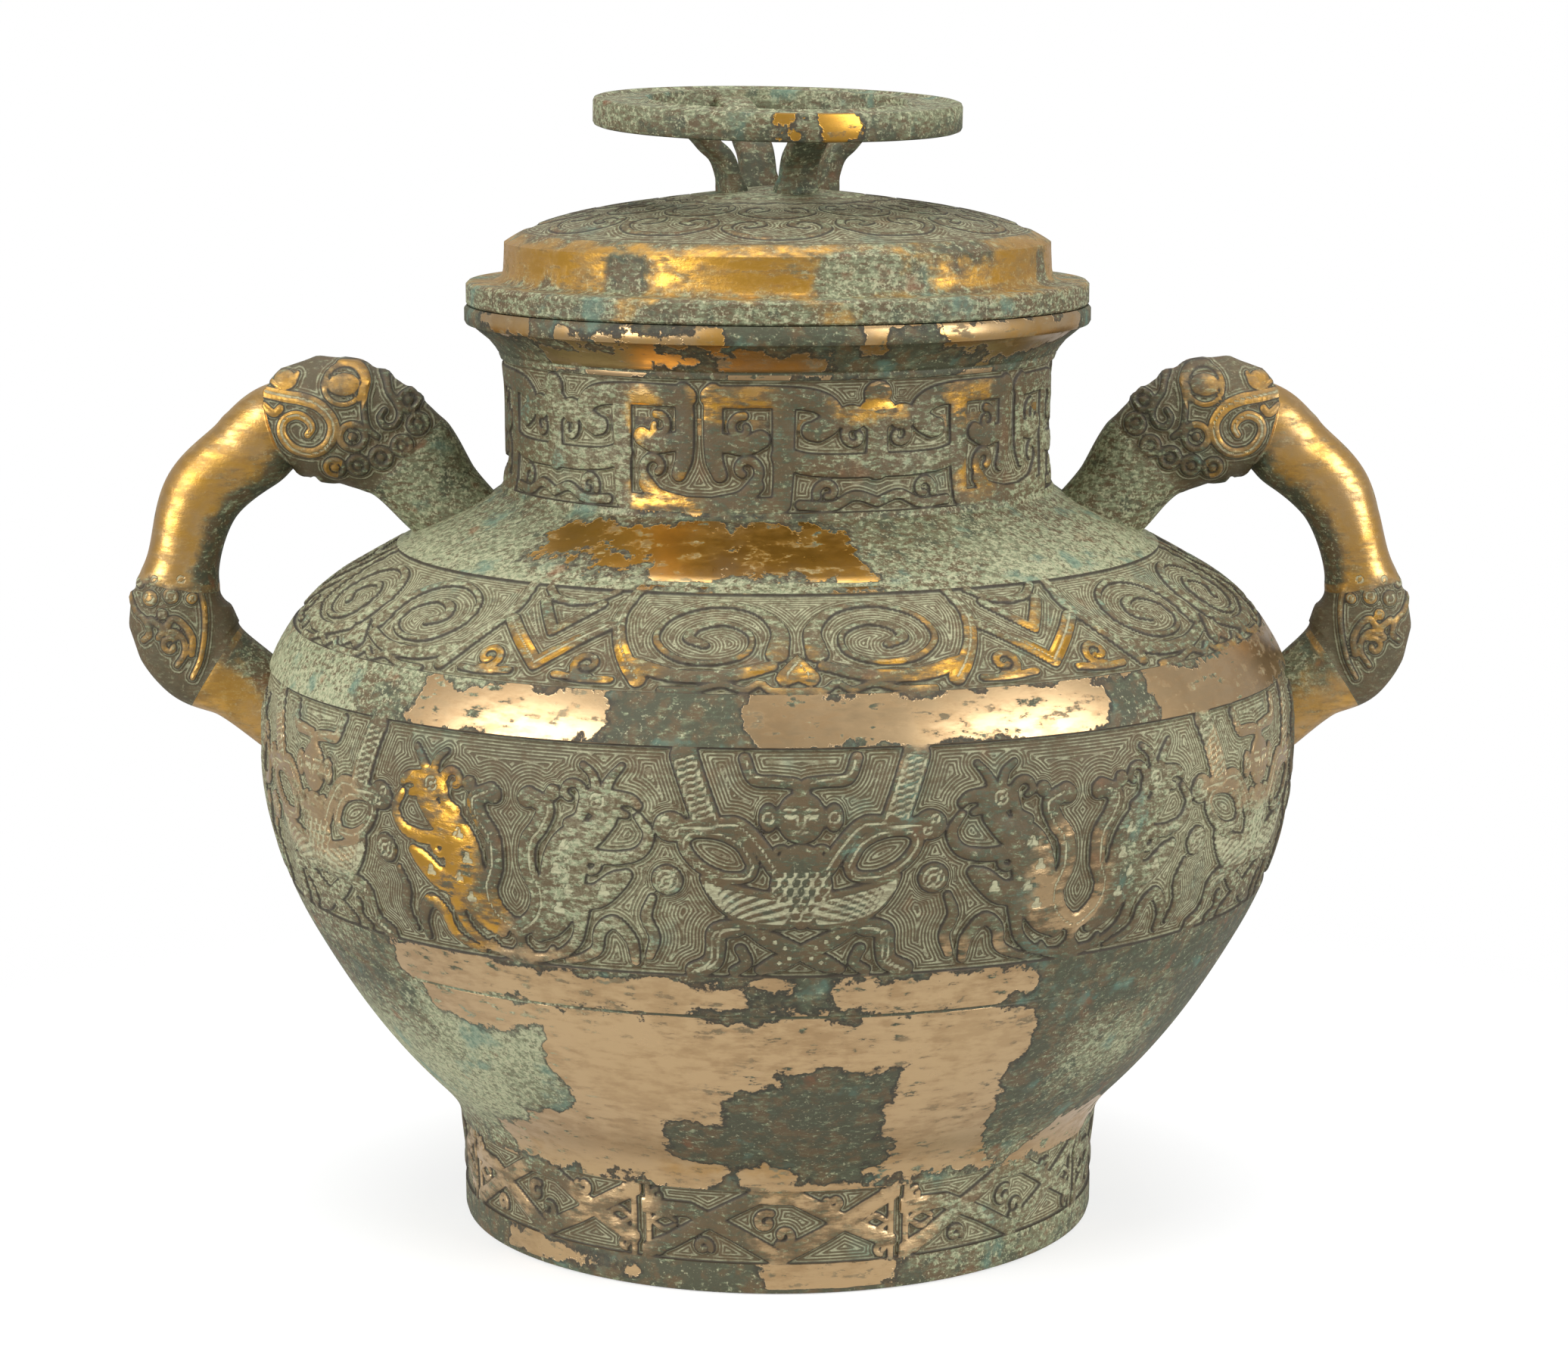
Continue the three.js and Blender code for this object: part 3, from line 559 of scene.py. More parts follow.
class Drawing:
    """Distances to everything drawn on a flat patch. Raised figures are below zero in ground."""

    def __init__(self, x, y):
        self.x, self.y = np.broadcast_arrays(x, y)
        self.ground = np.full(self.x.shape, FAR)
        self.chased = np.full(self.x.shape, FAR)

    def from_segment(self, ax, ay, bx, by):
        """How far along a straight piece the nearest place on it lies, and the distance to it."""
        length = max((bx - ax) ** 2 + (by - ay) ** 2, 1e-9)
        share = np.clip(((self.x - ax) * (bx - ax) + (self.y - ay) * (by - ay)) / length, 0, 1)
        return share, np.hypot(self.x - ax - share * (bx - ax), self.y - ay - share * (by - ay))

    def along(self, points, width=0, smooth=True):
        """Distance to a stroke. width is one number, or the points have a third column of widths."""
        points = [(*p, width) if len(p) == 2 else p for p in points]
        path = smooth_path(points) if smooth else np.array(points, float)
        nearest = np.full(self.x.shape, FAR)
        for (ax, ay, aw), (bx, by, bw) in zip(path, path[1:]):
            share, away = self.from_segment(ax, ay, bx, by)
            nearest = np.minimum(nearest, away - (aw + share * (bw - aw)) / 2)
        return nearest

    def oval(self, x, y, rx, ry, turn=0):
        c, s = math.cos(math.radians(turn)), math.sin(math.radians(turn))
        u = ((self.x - x) * c + (self.y - y) * s) / rx
        v = ((self.y - y) * c - (self.x - x) * s) / ry
        away = np.hypot(u, v)
        return (away - 1) * min(rx, ry) * np.where(away > 1, np.clip(away, 1, 1.6), 1)

    def circle(self, x, y, radius, width):
        """Distance to a ring line."""
        return np.abs(np.hypot(self.x - x, self.y - y) - radius) - width / 2

    def curl(self, x, y, outer, inner, start, sweep, width, width_end=None):
        """Distance to a stroke that winds in."""
        t = np.linspace(0, 1, 14)
        angle = np.radians(start + sweep * t)
        radius = outer + (inner - outer) * t
        wide = width + ((width_end or width) - width) * t
        path = np.stack([x + radius * np.cos(angle), y + radius * np.sin(angle), wide], -1)
        return self.along(path, smooth=False)

    def outline(self, points, smooth=False):
        """Signed distance to a closed outline."""
        path = smooth_path([*points, points[0]]) if smooth else np.array([*points, points[0]], float)
        nearest = np.full(self.x.shape, FAR)
        inside = np.zeros(self.x.shape, bool)
        for (ax, ay), (bx, by) in zip(path, path[1:]):
            nearest = np.minimum(nearest, self.from_segment(ax, ay, bx, by)[1])
            if ay != by:
                crosses = (ay > self.y) != (by > self.y)
                inside ^= crosses & (self.x < (bx - ax) * (self.y - ay) / (by - ay) + ax)
        return np.where(inside, -nearest, nearest)

    def lift(self, *distances):
        """Raises figures out of the ground."""
        for distance in distances:
            self.ground = np.minimum(self.ground, distance)

    def chase(self, *distances):
        """Engraves thin lines into raised figures."""
        for distance in distances:
            self.chased = np.minimum(self.chased, distance)

    def stroke(self, points, width=0, smooth=True):
        """Raises a strap. width is one number, or the points have a third column of widths."""
        self.lift(self.along(points, width, smooth))

    def line(self, points, width=0.45, smooth=True):
        """Engraves one line along points."""
        self.chase(self.along(points, width, smooth))


print("drawing kit ready")

# %% [markdown]
# A carved band is a closed sleeve that fills the groove left for it in the wall. Its front is a fine
# grid, sunk where the drawing has ground, and its back lies behind, out of sight. A band repeats its
# drawing, so only one repeat is worked out, or half of one where it mirrors.
# %% Carved sleeves for the bands
BAND_DEPTH = 1.1
FIGURE_CROWN = 0.22
SLEEVE_BACK = 2.4
EDGE_WIDTH = 0.75


def smoothstep(low, high, value):
    t = np.clip((value - low) / (high - low), 0, 1)
    return t * t * (3 - 2 * t)


def relief_height(ground, chased, depth, crown):
    """Sunk ground, steep edges, softly crowned figures and thin cut lines."""
    height = crown * smoothstep(0, -1.4, ground) + crown * smoothstep(-1.4, -5.0, ground)
    height = height - depth * smoothstep(0, EDGE_WIDTH, ground)
    return height - 0.20 * smoothstep(0.4, 0.0, chased) * (ground < 0)


class Band:
    """A stretch of the wall between two heights, and the drawing that repeats round it."""

    def __init__(self, name, low, high, repeats, turn, width, mirrored, columns, rows):
        self.name, self.low, self.high = name, low, high
        self.repeats, self.turn, self.width, self.mirrored = repeats, turn, width, mirrored
        self.columns, self.rows = columns, rows
        heights = np.linspace(low, high, 200)
        rise = np.hypot(np.diff(heights), np.diff(outline_radius(heights)))
        self.along = np.concatenate([[0], np.cumsum(rise)])
        self.heights = heights
        self.length = float(self.along[-1])

    def carve(self, draw, drawn_height):
        """Builds the sleeve from draw(drawing), which is drawn drawn_height tall."""
        per_cell = self.columns // self.repeats
        step = np.arange(per_cell)
        places = np.where(step <= per_cell // 2, step, step - per_cell) * self.width / per_cell
        if self.mirrored:
            x = np.arange(per_cell // 2 + 1) * self.width / per_cell
            index = np.minimum(step, per_cell - step)
        else:
            x = np.sort(places)
            index = np.searchsorted(x, places)
        y = np.linspace(0, drawn_height, self.rows + 1)
        drawing = Drawing(x[None, :], y[:, None])
        draw(drawing)
        border = np.minimum(drawing.y, drawn_height - drawing.y)
        ground = np.tile(np.minimum(drawing.ground, border)[:, index], (1, self.repeats))
        chased = np.tile(drawing.chased[:, index], (1, self.repeats))
        lift = relief_height(ground, chased, BAND_DEPTH, FIGURE_CROWN)
        lift[[0, -1]] = 0
        z = np.interp(y / drawn_height * self.length, self.along, self.heights)
        angles = self.turn + np.arange(self.columns) * 360 / self.columns
        radius, height = wall_point(z[:, None], lift)
        back_radius, back_height = wall_point(z[[-1, 0]], -SLEEVE_BACK)
        front = around(radius, height, angles)
        back = around(back_radius, back_height, angles)
        points = np.concatenate([front, back])
        here = (angles[None, :], z[:, None], outline_radius(z)[:, None])
        values = {
            "ground": ground,
            "chased": chased,
            "gilt": patch_field(*here, GILT, BARE),
            "pale": patch_field(*here, PALE, DARK),
            "warm": patch_field(*here, WARM, []),
        }
        for key, value in values.items():
            at_back = np.full((2, self.columns), FAR if key == "chased" else 0)
            values[key] = np.concatenate([value, at_back])
        faces = skin(len(points), self.columns, closed_rows=True)
        return piece(self.name, points.reshape(-1, 3), [faces], carved_finish, "body_bronze",
                     ["jar_body"], **values)


# %% [markdown]
# The belly band tells its story six times: a winged spirit with snakes over its arms dances between two
# rearing felines, and a lyre of curling straps parts the groups. The spirit's face is calm and plain,
# laid out by the usual rule of eyes at half height and the mouth a third below.
# %% Belly: the winged spirit
HEAD = (0, 49.2, 6.5, 7.3)


def draw_face(d):
    x, y, rx, ry = HEAD
    d.lift(d.oval(x, y, rx, ry), d.oval(9.0, y, 2.5, 3.8))
    d.chase(
        d.along([(1.3, y + 2.3), (3.1, y + 2.9), (4.8, y + 2.2)], 0.5),
        d.along([(1.5, y + 0.6), (3.0, y + 1.1), (4.6, y + 0.5)], 0.5),
        d.along([(1.5, y + 0.4), (3.0, y - 0.1), (4.6, y + 0.4)], 0.4),
        d.along([(0.8, y + 0.5), (1.3, y - 2.0), (0, y - 2.5)], 0.4),
        d.along([(0, y - 4.3), (1.9, y - 4.0)], 0.5),
        d.circle(9.0, y, 1.5, 0.5),
    )


def draw_spirit(d):
    draw_face(d)
    d.stroke([(0.6, 55.5), (1.2, 58.6), (7, 59.5), (13, 60.2), (15.6, 66)], 3.0)
    d.line([(2.5, 59.2), (8, 60.2), (13.4, 61.4), (15.2, 65.5)])
    d.stroke([(0, 34, 15), (0, 27, 16.5), (0, 20, 7), (0, 17, 2)])
    for row, half in enumerate([6, 7, 7, 6, 4, 2]):
        for centre in np.arange(1.5 * (row % 2), half + 1, 3.0):
            arc = d.circle(centre, 33.5 - 2.6 * row, 1.7, 0.45)
            d.chase(np.where(d.y < 33.5 - 2.6 * row + 0.4, arc, FAR))
    d.lift(d.curl(5.7, 38.5, 2.6, 0.8, 200, -400, 1.5))
    arm = [(7.2, 34.5), (11.5, 41.2), (17.5, 47.0), (25, 46.6), (33.5, 46.0)]
    d.stroke(arm, 4.4)
    d.line(arm, 0.5)
    loop = [(13.2, 35.5), (16.5, 41.3), (22.5, 44.5), (30, 44.6), (32.3, 41.0), (28.5, 35.5),
            (21.8, 32.0), (15, 32.2), (13.2, 35.5)]
    d.stroke(loop, 3.2)
    d.line(loop)
    d.lift(d.oval(36.0, 46.2, 4.6, 4.2))
    d.chase(d.circle(37.4, 47.9, 1.15, 0.5), d.circle(35.2, 44.6, 1.15, 0.5))
    wing = [(2, 25), (9, 27.5), (18, 29.5), (27.5, 32.5), (25, 25), (19, 19), (11, 16.5), (2, 16.8)]
    d.lift(d.outline(wing, smooth=True))
    for k in range(6):
        share = (k + 0.7) / 6.5
        feather = [(3 + 2 * share, 25.0 - 8 * share), (13 + 0.5 * share, 27.2 - 9.5 * share),
                   (22 - share, 29.6 - 8.6 * share), (26.5, 31 - 3.0 * share)]
        d.line(feather)


def draw_spirit_legs(d):
    d.stroke([(14, 15.5, 3), (8, 12.2, 5.4), (0, 8.4, 4.4)])
    d.stroke([(0, 8.4, 4.4), (6.5, 5.0, 5.4), (11.5, 2.6, 3)])
    for x, y in [(10.5, 13.6), (7.2, 12.2), (4.4, 10.3), (6, 5.4), (3.2, 6.9)]:
        d.chase(d.oval(x, y, 0.7, 0.7))
    tail = [(18, 16.5), (23.5, 15.0), (24.2, 10.0), (25.5, 5.0), (30.5, 2.0)]
    d.stroke(tail, 5.4)
    d.chase(d.along([(x + 0.9, y) for x, y in tail], 0.45), d.along([(x - 0.9, y) for x, y in tail], 0.45))
    d.stroke([(17, 9.5), (15.5, 5.0), (19, 2.0)], 3)
    strap = [(26.2, 48.5), (32.6, 66.5)]
    d.stroke(strap, 7.6, smooth=False)
    for k in range(11):
        share = (k + 0.5) / 11
        x, y = 26.2 + 6.4 * share, 48.5 + 18 * share
        d.line([(x - 2.6, y + 0.9), (x + 2.2, y - 0.8)], 0.5, smooth=False)
    for side in (-3.1, 3.1):
        d.line([(26.2 + side, 48.0), (32.6 + side, 66.0)], 0.4, smooth=False)
    d.lift(d.oval(37.2, 30.6, 4.3, 4.3))
    d.chase(d.circle(37.2, 30.6, 2.9, 0.5), d.circle(37.2, 30.6, 1.3, 0.5))


# %% [markdown]
# The feline rears against the strap beside it: a heavy spotted body, a long jaw, a curling crest, claws
# that grip the border, and a tail that sweeps under everything.
# %% Belly: feline and lyre
LYRE = 84.2


def from_lyre(points):
    """Points given from the lyre's middle, moved to the drawing's own place."""
    return [(LYRE + x, *rest) for x, *rest in points]


def draw_feline(d):
    body = [(-24, 43.5, 6), (-20.0, 39.5, 11), (-17.2, 34.0, 13), (-16.0, 27.0, 13), (-14.8, 20.5, 10),
            (-11.5, 14.0, 6.5), (-6.5, 10.2, 4)]
    d.stroke(from_lyre(body))
    d.stroke(from_lyre([(-29.5, 47.5), (-26.0, 43.0), (-21, 38.5)]), 6.5)
    d.lift(d.oval(LYRE - 28.5, 52.0, 5.6, 4.4, 10))
    d.stroke(from_lyre([(-31, 53.6, 4.4), (-36.5, 53.4, 3.2), (-39.0, 51.8, 2.2)]))
    d.stroke(from_lyre([(-31, 50.2, 3), (-35.5, 48.9, 1.8)]))
    d.stroke(from_lyre([(-29.5, 55.5, 2.8), (-31, 59, 2.4), (-34, 62.8, 1.6)]))
    d.stroke(from_lyre([(-27, 56, 2.8), (-25.5, 60.0, 2.2), (-22.5, 62.5, 1.6)]))
    d.lift(d.curl(LYRE - 19.5, 54.3, 3.6, 1.6, 180, -250, 2.4, 1.6))
    d.stroke(from_lyre([(-23.5, 52.5), (-22, 47.5), (-18.6, 45.4)]), 3.0)
    d.chase(d.circle(LYRE - 27.2, 52.6, 2.0, 0.5), d.oval(LYRE - 27.2, 52.6, 0.7, 0.7))
    d.stroke(from_lyre([(-24, 36.5, 4), (-33, 36.4, 3.6), (-39.5, 38.4, 3.2), (-42, 43.6, 2.8),
                        (-39, 48.6, 2)]))
    d.lift(d.curl(LYRE - 24.6, 33.8, 3.2, 1.1, 90, 330, 2.0, 1.4))
    d.stroke(from_lyre([(-20, 24, 8), (-26.5, 24.6, 7), (-32.0, 29.0, 6), (-35.5, 31.5, 3)]))
    d.stroke(from_lyre([(-21, 21.5, 6), (-20.4, 15, 3.6), (-18.4, 9.5, 3.0), (-13.5, 5.0, 2.6),
                        (-8, 3.2, 2)]))
    tail = from_lyre([(-36, 4.0, 2.2), (-35.6, 11, 3.4), (-31, 16.6, 3.8), (-26.4, 13.5, 3.4),
                      (-24.6, 7.4, 3.0), (-20, 4.2, 2.4), (-14.5, 2.4, 1.6)])
    d.stroke(tail)
    d.stroke(from_lyre([(-42.5, 25, 2), (-40.5, 19, 3), (-42.5, 12.5, 3), (-40.4, 6.0, 2)]))
    for x, y in [(-17.5, 39.0), (-14.6, 32.0), (-18.2, 26.0), (-14.6, 20.0), (-28.6, 26.6)]:
        d.chase(*[d.circle(LYRE + x + 1.15 * math.cos(a), y + 1.15 * math.sin(a), 0.65, 0.4)
                  for a in (math.pi / 2, math.pi * 7 / 6, math.pi * 11 / 6)])


def draw_lyre(d):
    strap = from_lyre([(-6.4, 52.5), (-11.6, 49.6), (-9.6, 44.0), (-6.0, 38.8), (-5.6, 31.0), (-8.3, 23.6),
                       (-6.8, 17.4), (-3.4, 13.6), (0, 11.4)])
    d.stroke(strap, 5.0)
    d.line([(x - 0.9, y) for x, y in strap], 0.5)
    d.lift(d.oval(LYRE - 5.6, 51.8, 2.7, 2.7), d.oval(LYRE - 13.8, 54.0, 2.2, 2.2))
    d.stroke([(LYRE, 12.5, 5), (LYRE, 6.5, 3.4), (LYRE, 1.5, 9)])
    d.stroke([(LYRE - 2, 2.2, 3), (LYRE - 8, 3.0, 2.6), (LYRE - 10.5, 6.0, 1.6)])


def draw_belly(d):
    draw_spirit(d)
    draw_spirit_legs(d)
    draw_feline(d)
    draw_lyre(d)


belly = Band("belly_band", 110.5, 177, 6, 2.4, 168, True, 1152, 76)
belly_band = belly.carve(draw_belly, 69)

# %% [markdown]
# The shoulder band carries great oval swirls either side of a small heart, and straps bent like a V
# between them. Seen from in front it is foreshortened, so its lines are laid wide.
# %% Shoulder band
def draw_shoulder(d):
    d.lift(d.outline([(0, 13.5), (3.4, 9.2), (5.6, 5.6), (3.6, 3.0), (0, 4.4), (-3.6, 3.0), (-5.6, 5.6),
                      (-3.4, 9.2)], smooth=True))
    d.line([(0, 10.5), (2.6, 6.8), (3.0, 5.0)])
    d.stroke([(0, 1.2), (7, 1.6), (10, 3.8), (14, 1.6), (20, 3.2), (27, 1.4), (36, 1.2)], 1.6)
    swirl = [(5.5, 14, 6), (5.0, 24, 4.6), (12, 32.5, 2.6), (25, 35.0, 1.8), (37.5, 29.5, 1.6),
             (40.5, 19.5, 1.6), (33, 11.8, 1.6), (22, 10.6, 1.4), (13.8, 14.4, 1.4), (13.4, 22.0, 1.4),
             (20.5, 26.6, 1.6), (28.5, 25.0, 2.6), (31.0, 20.2, 3.0), (26, 17.2, 2.4)]
    d.stroke(swirl)
    d.stroke([(7, 9.5, 3), (18, 6.2, 3.6), (32, 5.8, 4), (44, 9.0, 4.2)])
    strap = [(42.5, 4.0, 4.2), (46.5, 9.5, 4.0), (51.2, 18.4, 3.6), (54.2, 29.0, 3.6), (52.5, 40.5, 3.4)]
    d.stroke(strap)
    d.line([(x, y) for x, y, _ in strap])
    d.stroke([(56.5, 23.5), (73.3, 7.0)], 4.0, smooth=False)
    d.line([(56.5, 23.5), (73.3, 7.0)], 0.5, smooth=False)
    d.stroke([(62.5, 33), (73.3, 19.5)], 3.2, smooth=False)
    d.lift(d.curl(57.6, 8.2, 4.6, 1.2, 250, 420, 2.0, 1.4))
    d.stroke([(50.0, 3.6), (57, 3.2), (66, 4.2)], 1.8)
    d.stroke([(60, 39.0), (66, 34.5), (73.3, 33.0)], 2.4)


shoulder = Band("shoulder_band", 190.5, 214, 6, 2.3, 146, True, 1008, 56)
shoulder_band = shoulder.carve(draw_shoulder, 40)

# %% [markdown]
# Round the neck five blocks of square hooks stand back to back on a narrow upright of ground, and a
# small cross with rolled arms fills each gap.
# %% Neck band
def draw_neck(d):
    d.stroke([(4.6, 37.0, 5), (4.4, 28, 5.4), (4.6, 17, 5.0), (6.4, 11.5, 4)])
    d.stroke([(4, 35.4), (22, 35.6), (34, 34.6), (39.4, 31.5), (39.2, 27.6), (35.6, 25.2)], 6.4)
    d.lift(d.curl(13.0, 26.0, 3.8, 1.4, 80, 300, 2.2, 1.6))
    d.stroke([(7, 21.5), (14, 20.6), (18.5, 22.6)], 5.4)
    d.stroke([(25.6, 34.0, 6.4), (25.4, 20, 6), (25.4, 12, 5.6), (24.8, 3.0, 5.2)])
    d.lift(d.curl(14.2, 13.2, 4.6, 1.6, 300, 290, 2.6, 2.0))
    d.stroke([(24, 2.6, 4.6), (12, 2.2, 4.6), (0, 2.2, 4.6)])
    d.stroke([(17.2, 8.4, 4.4), (13, 4.4, 4.6), (5, 2.4, 4.6)])
    d.lift(d.curl(33.8, 25.8, 3.0, 1.0, 350, -260, 2.4, 1.6))
    d.stroke([(25, 17.5, 6), (32, 15.2, 6.4), (42, 14.4, 6.8), (54, 14.4, 7)])
    d.lift(d.oval(54, 36.2, 4.2, 3.8), d.oval(45.8, 29.0, 4.6, 3.8), d.oval(54, 30, 6, 5))
    d.stroke([(54, 32, 7), (54, 22, 6), (54, 14, 8)])
    d.lift(d.curl(47.0, 23.4, 4.0, 1.2, 90, 300, 2.2, 1.6))
    d.lift(d.curl(38.6, 6.4, 3.6, 1.2, 200, -300, 2.2, 1.6))
    d.stroke([(30.4, 2.6), (40, 2.2), (47, 5.2), (54, 3.0)], 2.6)


neck = Band("neck_band", 232.5, 271.5, 5, -15.7, 108, True, 960, 64)
neck_band = neck.carve(draw_neck, 41)

# %% [markdown]
# The foot ring wears a lattice: straps cross to a rhombus with a hooked S inside it, and a double bar
# with four pointed petals stands between the crossings.
# %% Foot band
def draw_foot(d):
    falling = [(-40, 16.8), (-24, 16.6), (-10, 9.5), (2.6, 2.0), (17, 9.6), (30, 17.6), (38, 22.2)]
    rising = [(-38, 2.0), (-30, 6.0), (-17, 14.4), (-3.2, 22.2), (8, 21.6), (22, 13.4), (36.5, 6.0)]
    d.lift(d.along(falling, 4.6, smooth=False), d.along(rising, 4.6, smooth=False))
    d.lift(d.curl(-1.0, 13.6, 3.2, 1.0, 60, 300, 2.0), d.curl(4.4, 9.2, 3.2, 1.0, 240, 300, 2.0))
    d.lift(d.curl(19.5, 19.6, 2.6, 0.9, 160, 320, 1.8), d.curl(-20.0, 5.0, 2.6, 0.9, 340, 320, 1.8))
    for side in (-39.5, 39.5):
        for way in (-1, 1):
            d.stroke([(side + way * 2.4, 0.5), (side + way * 2.4, 23.5)], 1.5, smooth=False)
            d.lift(d.curl(side + way * 5.4, 20.4, 2.0, 0.8, 90, way * 300, 1.3))
            d.lift(d.curl(side + way * 5.4, 3.6, 2.0, 0.8, 270, way * 300, 1.3))
            for bend, tip in [(2.4, 0.6), (-2.4, -0.6)]:
                d.stroke([(side + way * 3.4, 12, 1.0), (side + way * 7.4, 12 + bend, 1.6),
                          (side + way * 11, 12 + tip, 1.0)])


foot = Band("foot_band", 9.5, 32.5, 8, -1.4, 79, False, 1024, 38)
foot_band = foot.carve(draw_foot, 24)

# %% [markdown]
# The wall itself is turned in one piece, from the middle of the underside out, up, over the rim and
# down to the floor inside, with a groove left for each sleeve. Fine cut lines mark the borders.
# %% The turned wall
WALL_COLUMNS = 288
GROOVE_DEPTH = 1.9
BANDS = [foot, belly, shoulder, neck]
CUT_LINES = [97.5, 215.8, 230.8, 273.4]
CUT_DEPTH = 0.35
FLOOR_EDGE = wall_point(np.array(52.4), -WALL)
FLOOR_POWER = 3.9


def floor_height(radius):
    return (FLOOR_EDGE[1] - FLOOR_Z) * (radius / FLOOR_EDGE[0]) ** FLOOR_POWER


def outer_rows():
    """Heights and lifts of the outer wall's rows, from the foot to the rim."""
    rows = []
    plain = [z for z in np.arange(2.0, RIM_Z - 0.4, 2.6)
             if not any(band.low - 0.5 < z < band.high + 0.5 for band in BANDS)
             and not any(abs(z - line) < 1.4 for line in CUT_LINES)]
    rows += [(z, 0.0) for z in plain]
    for line in CUT_LINES:
        rows += [(line - 0.5, 0.0), (line - 0.15, -CUT_DEPTH), (line + 0.15, -CUT_DEPTH), (line + 0.5, 0.0)]
    for band in BANDS:
        rows += [(band.low, 0.0), (band.low + 0.02, -GROOVE_DEPTH), (band.high - 0.02, -GROOVE_DEPTH),
                 (band.high, 0.0)]
        rows += [(z, -GROOVE_DEPTH) for z in np.arange(band.low + 3, band.high - 2, 4)]
    return sorted(rows)


def wall_profile():
    under = [(r, FLOOR_Z - WALL + floor_height(r)) for r in np.linspace(0, FOOT_INNER, 10)]
    z, lift = np.array(outer_rows()).T
    outer = np.stack(wall_point(z, lift), -1)
    inner = np.stack(wall_point(np.linspace(275, 52.4, 60), -WALL), -1)
    dish = [(r, FLOOR_Z + floor_height(r)) for r in np.linspace(0, 0.96, 12)[::-1] * FLOOR_EDGE[0]]
    rim = [(RIM_RADIUS - 2, RIM_Z), (RIM_RADIUS - 0.5, RIM_Z + 0.3), (RIM_RADIUS, RIM_Z + 1.2),
           (RIM_RADIUS, RIM_TOP - 1), (RIM_RADIUS - 0.8, RIM_TOP), (RIM_RADIUS - RIM_WIDTH, RIM_TOP)]
    foot_edge = [(FOOT_INNER + 0.4, 0), (FOOT_RADIUS - 1.5, 0), (FOOT_RADIUS - 0.4, 0.5)]
    return np.array([*under, *foot_edge, *outer, *rim, *inner, *dish])


def turned(name, profile, columns, material, slot, nodes, **values):
    """A turned piece whose profile starts and ends on the axis. A value may be a field, or one a point."""
    angles = np.arange(columns) * 360 / columns
    rings = around(profile[1:-1, 0], profile[1:-1, 1], angles)
    poles = np.array([[0, 0, profile[0, 1]], [0, 0, profile[-1, 1]]])
    points = np.concatenate([rings.reshape(-1, 3), poles])
    stored = {}
    for key, value in values.items():
        if callable(value):
            value = value(angles, profile[1:-1])
        stored[key] = np.append(value.ravel(), [0, 0])
    return piece(name, points, capped_skin(len(rings), columns), material, slot, nodes, **stored)


def wall_gilt(angles, profile):
    """No gilding in the grooves, in the cut lines or inside the jar."""
    outside = profile[:, :1] > outline_radius(profile[:, 1:]) - 0.15
    return np.where(outside, painted(GILT, BARE)(angles, profile), -FIELD_LIMIT)


jar_wall = turned("jar_wall", wall_profile(), WALL_COLUMNS, plain_finish, "body_bronze", ["jar_body"],
                  gilt=wall_gilt, pale=painted(PALE, DARK), warm=painted(WARM))

# %% [markdown]
# The lid is turned too. Its dome is chased with a wreath of cloud scrolls, drawn like the bands and
# pressed a little into the metal, with bare metal round the knob and at the step.
# %% The lid's dome and flange
LID_BOTTOM = 288.1
FLANGE_RADIUS, FLANGE_TOP = 96.6, 295.2
STEP_RADIUS, STEP_TOP = 85, 306.7
DOME_RISE, DOME_TOP = 17.5, 324.2
LIP_RADIUS, LIP_INNER, LIP_DEPTH = 78.2, 74.2, 8
LID_COLUMNS = 480
SCROLL_OUTER, SCROLL_INNER = 79, 27
SCROLL_REPEATS, SCROLL_MID = 6, 55
SCROLL_DEPTH = 0.5

LID_GILT = [(0, 303.5, 180, 7), (9, 291, 3, 2), (-30, 291, 2, 2)]
LID_BARE = [(20, 301, 13, 8), (-31, 301, 6, 8), (38, 308, 12, 4), (70, 301, 4, 6), (-8, 311, 180, 2)]
LID_PALE = [(0, 291, 180, 4), (20, 301, 12, 8), (10, 320, 180, 5)]


def dome_height(share):
    return DOME_RISE * (1 - 0.62 * share**1.15 - 0.38 * share**7)


def draw_scrolls(d):
    half = math.pi * SCROLL_MID / SCROLL_REPEATS
    d.stroke([(0, 4), (7, 5.5), (12, 11), (10.5, 17.5), (5.5, 18.5), (3.8, 14.5), (6.8, 12.6)], 2.0)
    d.stroke([(0, 22), (6, 24), (11.5, 29), (11, 35.5), (6, 37), (3.8, 33.2), (6.5, 31)], 2.0)
    d.stroke([(half, 6), (22, 7), (16.5, 13), (18, 19.5), (23, 20.5), (25, 16.6), (22.4, 14.4)], 2.0)
    d.stroke([(half, 24), (22, 26), (17, 32), (19, 38.5), (24, 38.8), (25.2, 34.8), (22, 33.6)], 2.0)
    d.stroke([(0, 46), (8, 43.5), (16, 45), (half, 42.5)], 1.8)


def scroll_ground(angles, radius):
    """Distance to the wreath of scrolls on the dome, from angles and radii."""
    cell = 360 / SCROLL_REPEATS
    x = np.abs((angles + cell / 2) % cell - cell / 2)[None, :]
    x = x / 360 * 2 * math.pi * SCROLL_MID
    y = (SCROLL_OUTER - radius)[:, None]
    d = Drawing(x, y)
    draw_scrolls(d)
    border = np.minimum(d.y, SCROLL_OUTER - SCROLL_INNER - d.y)
    return np.minimum(d.ground, border)


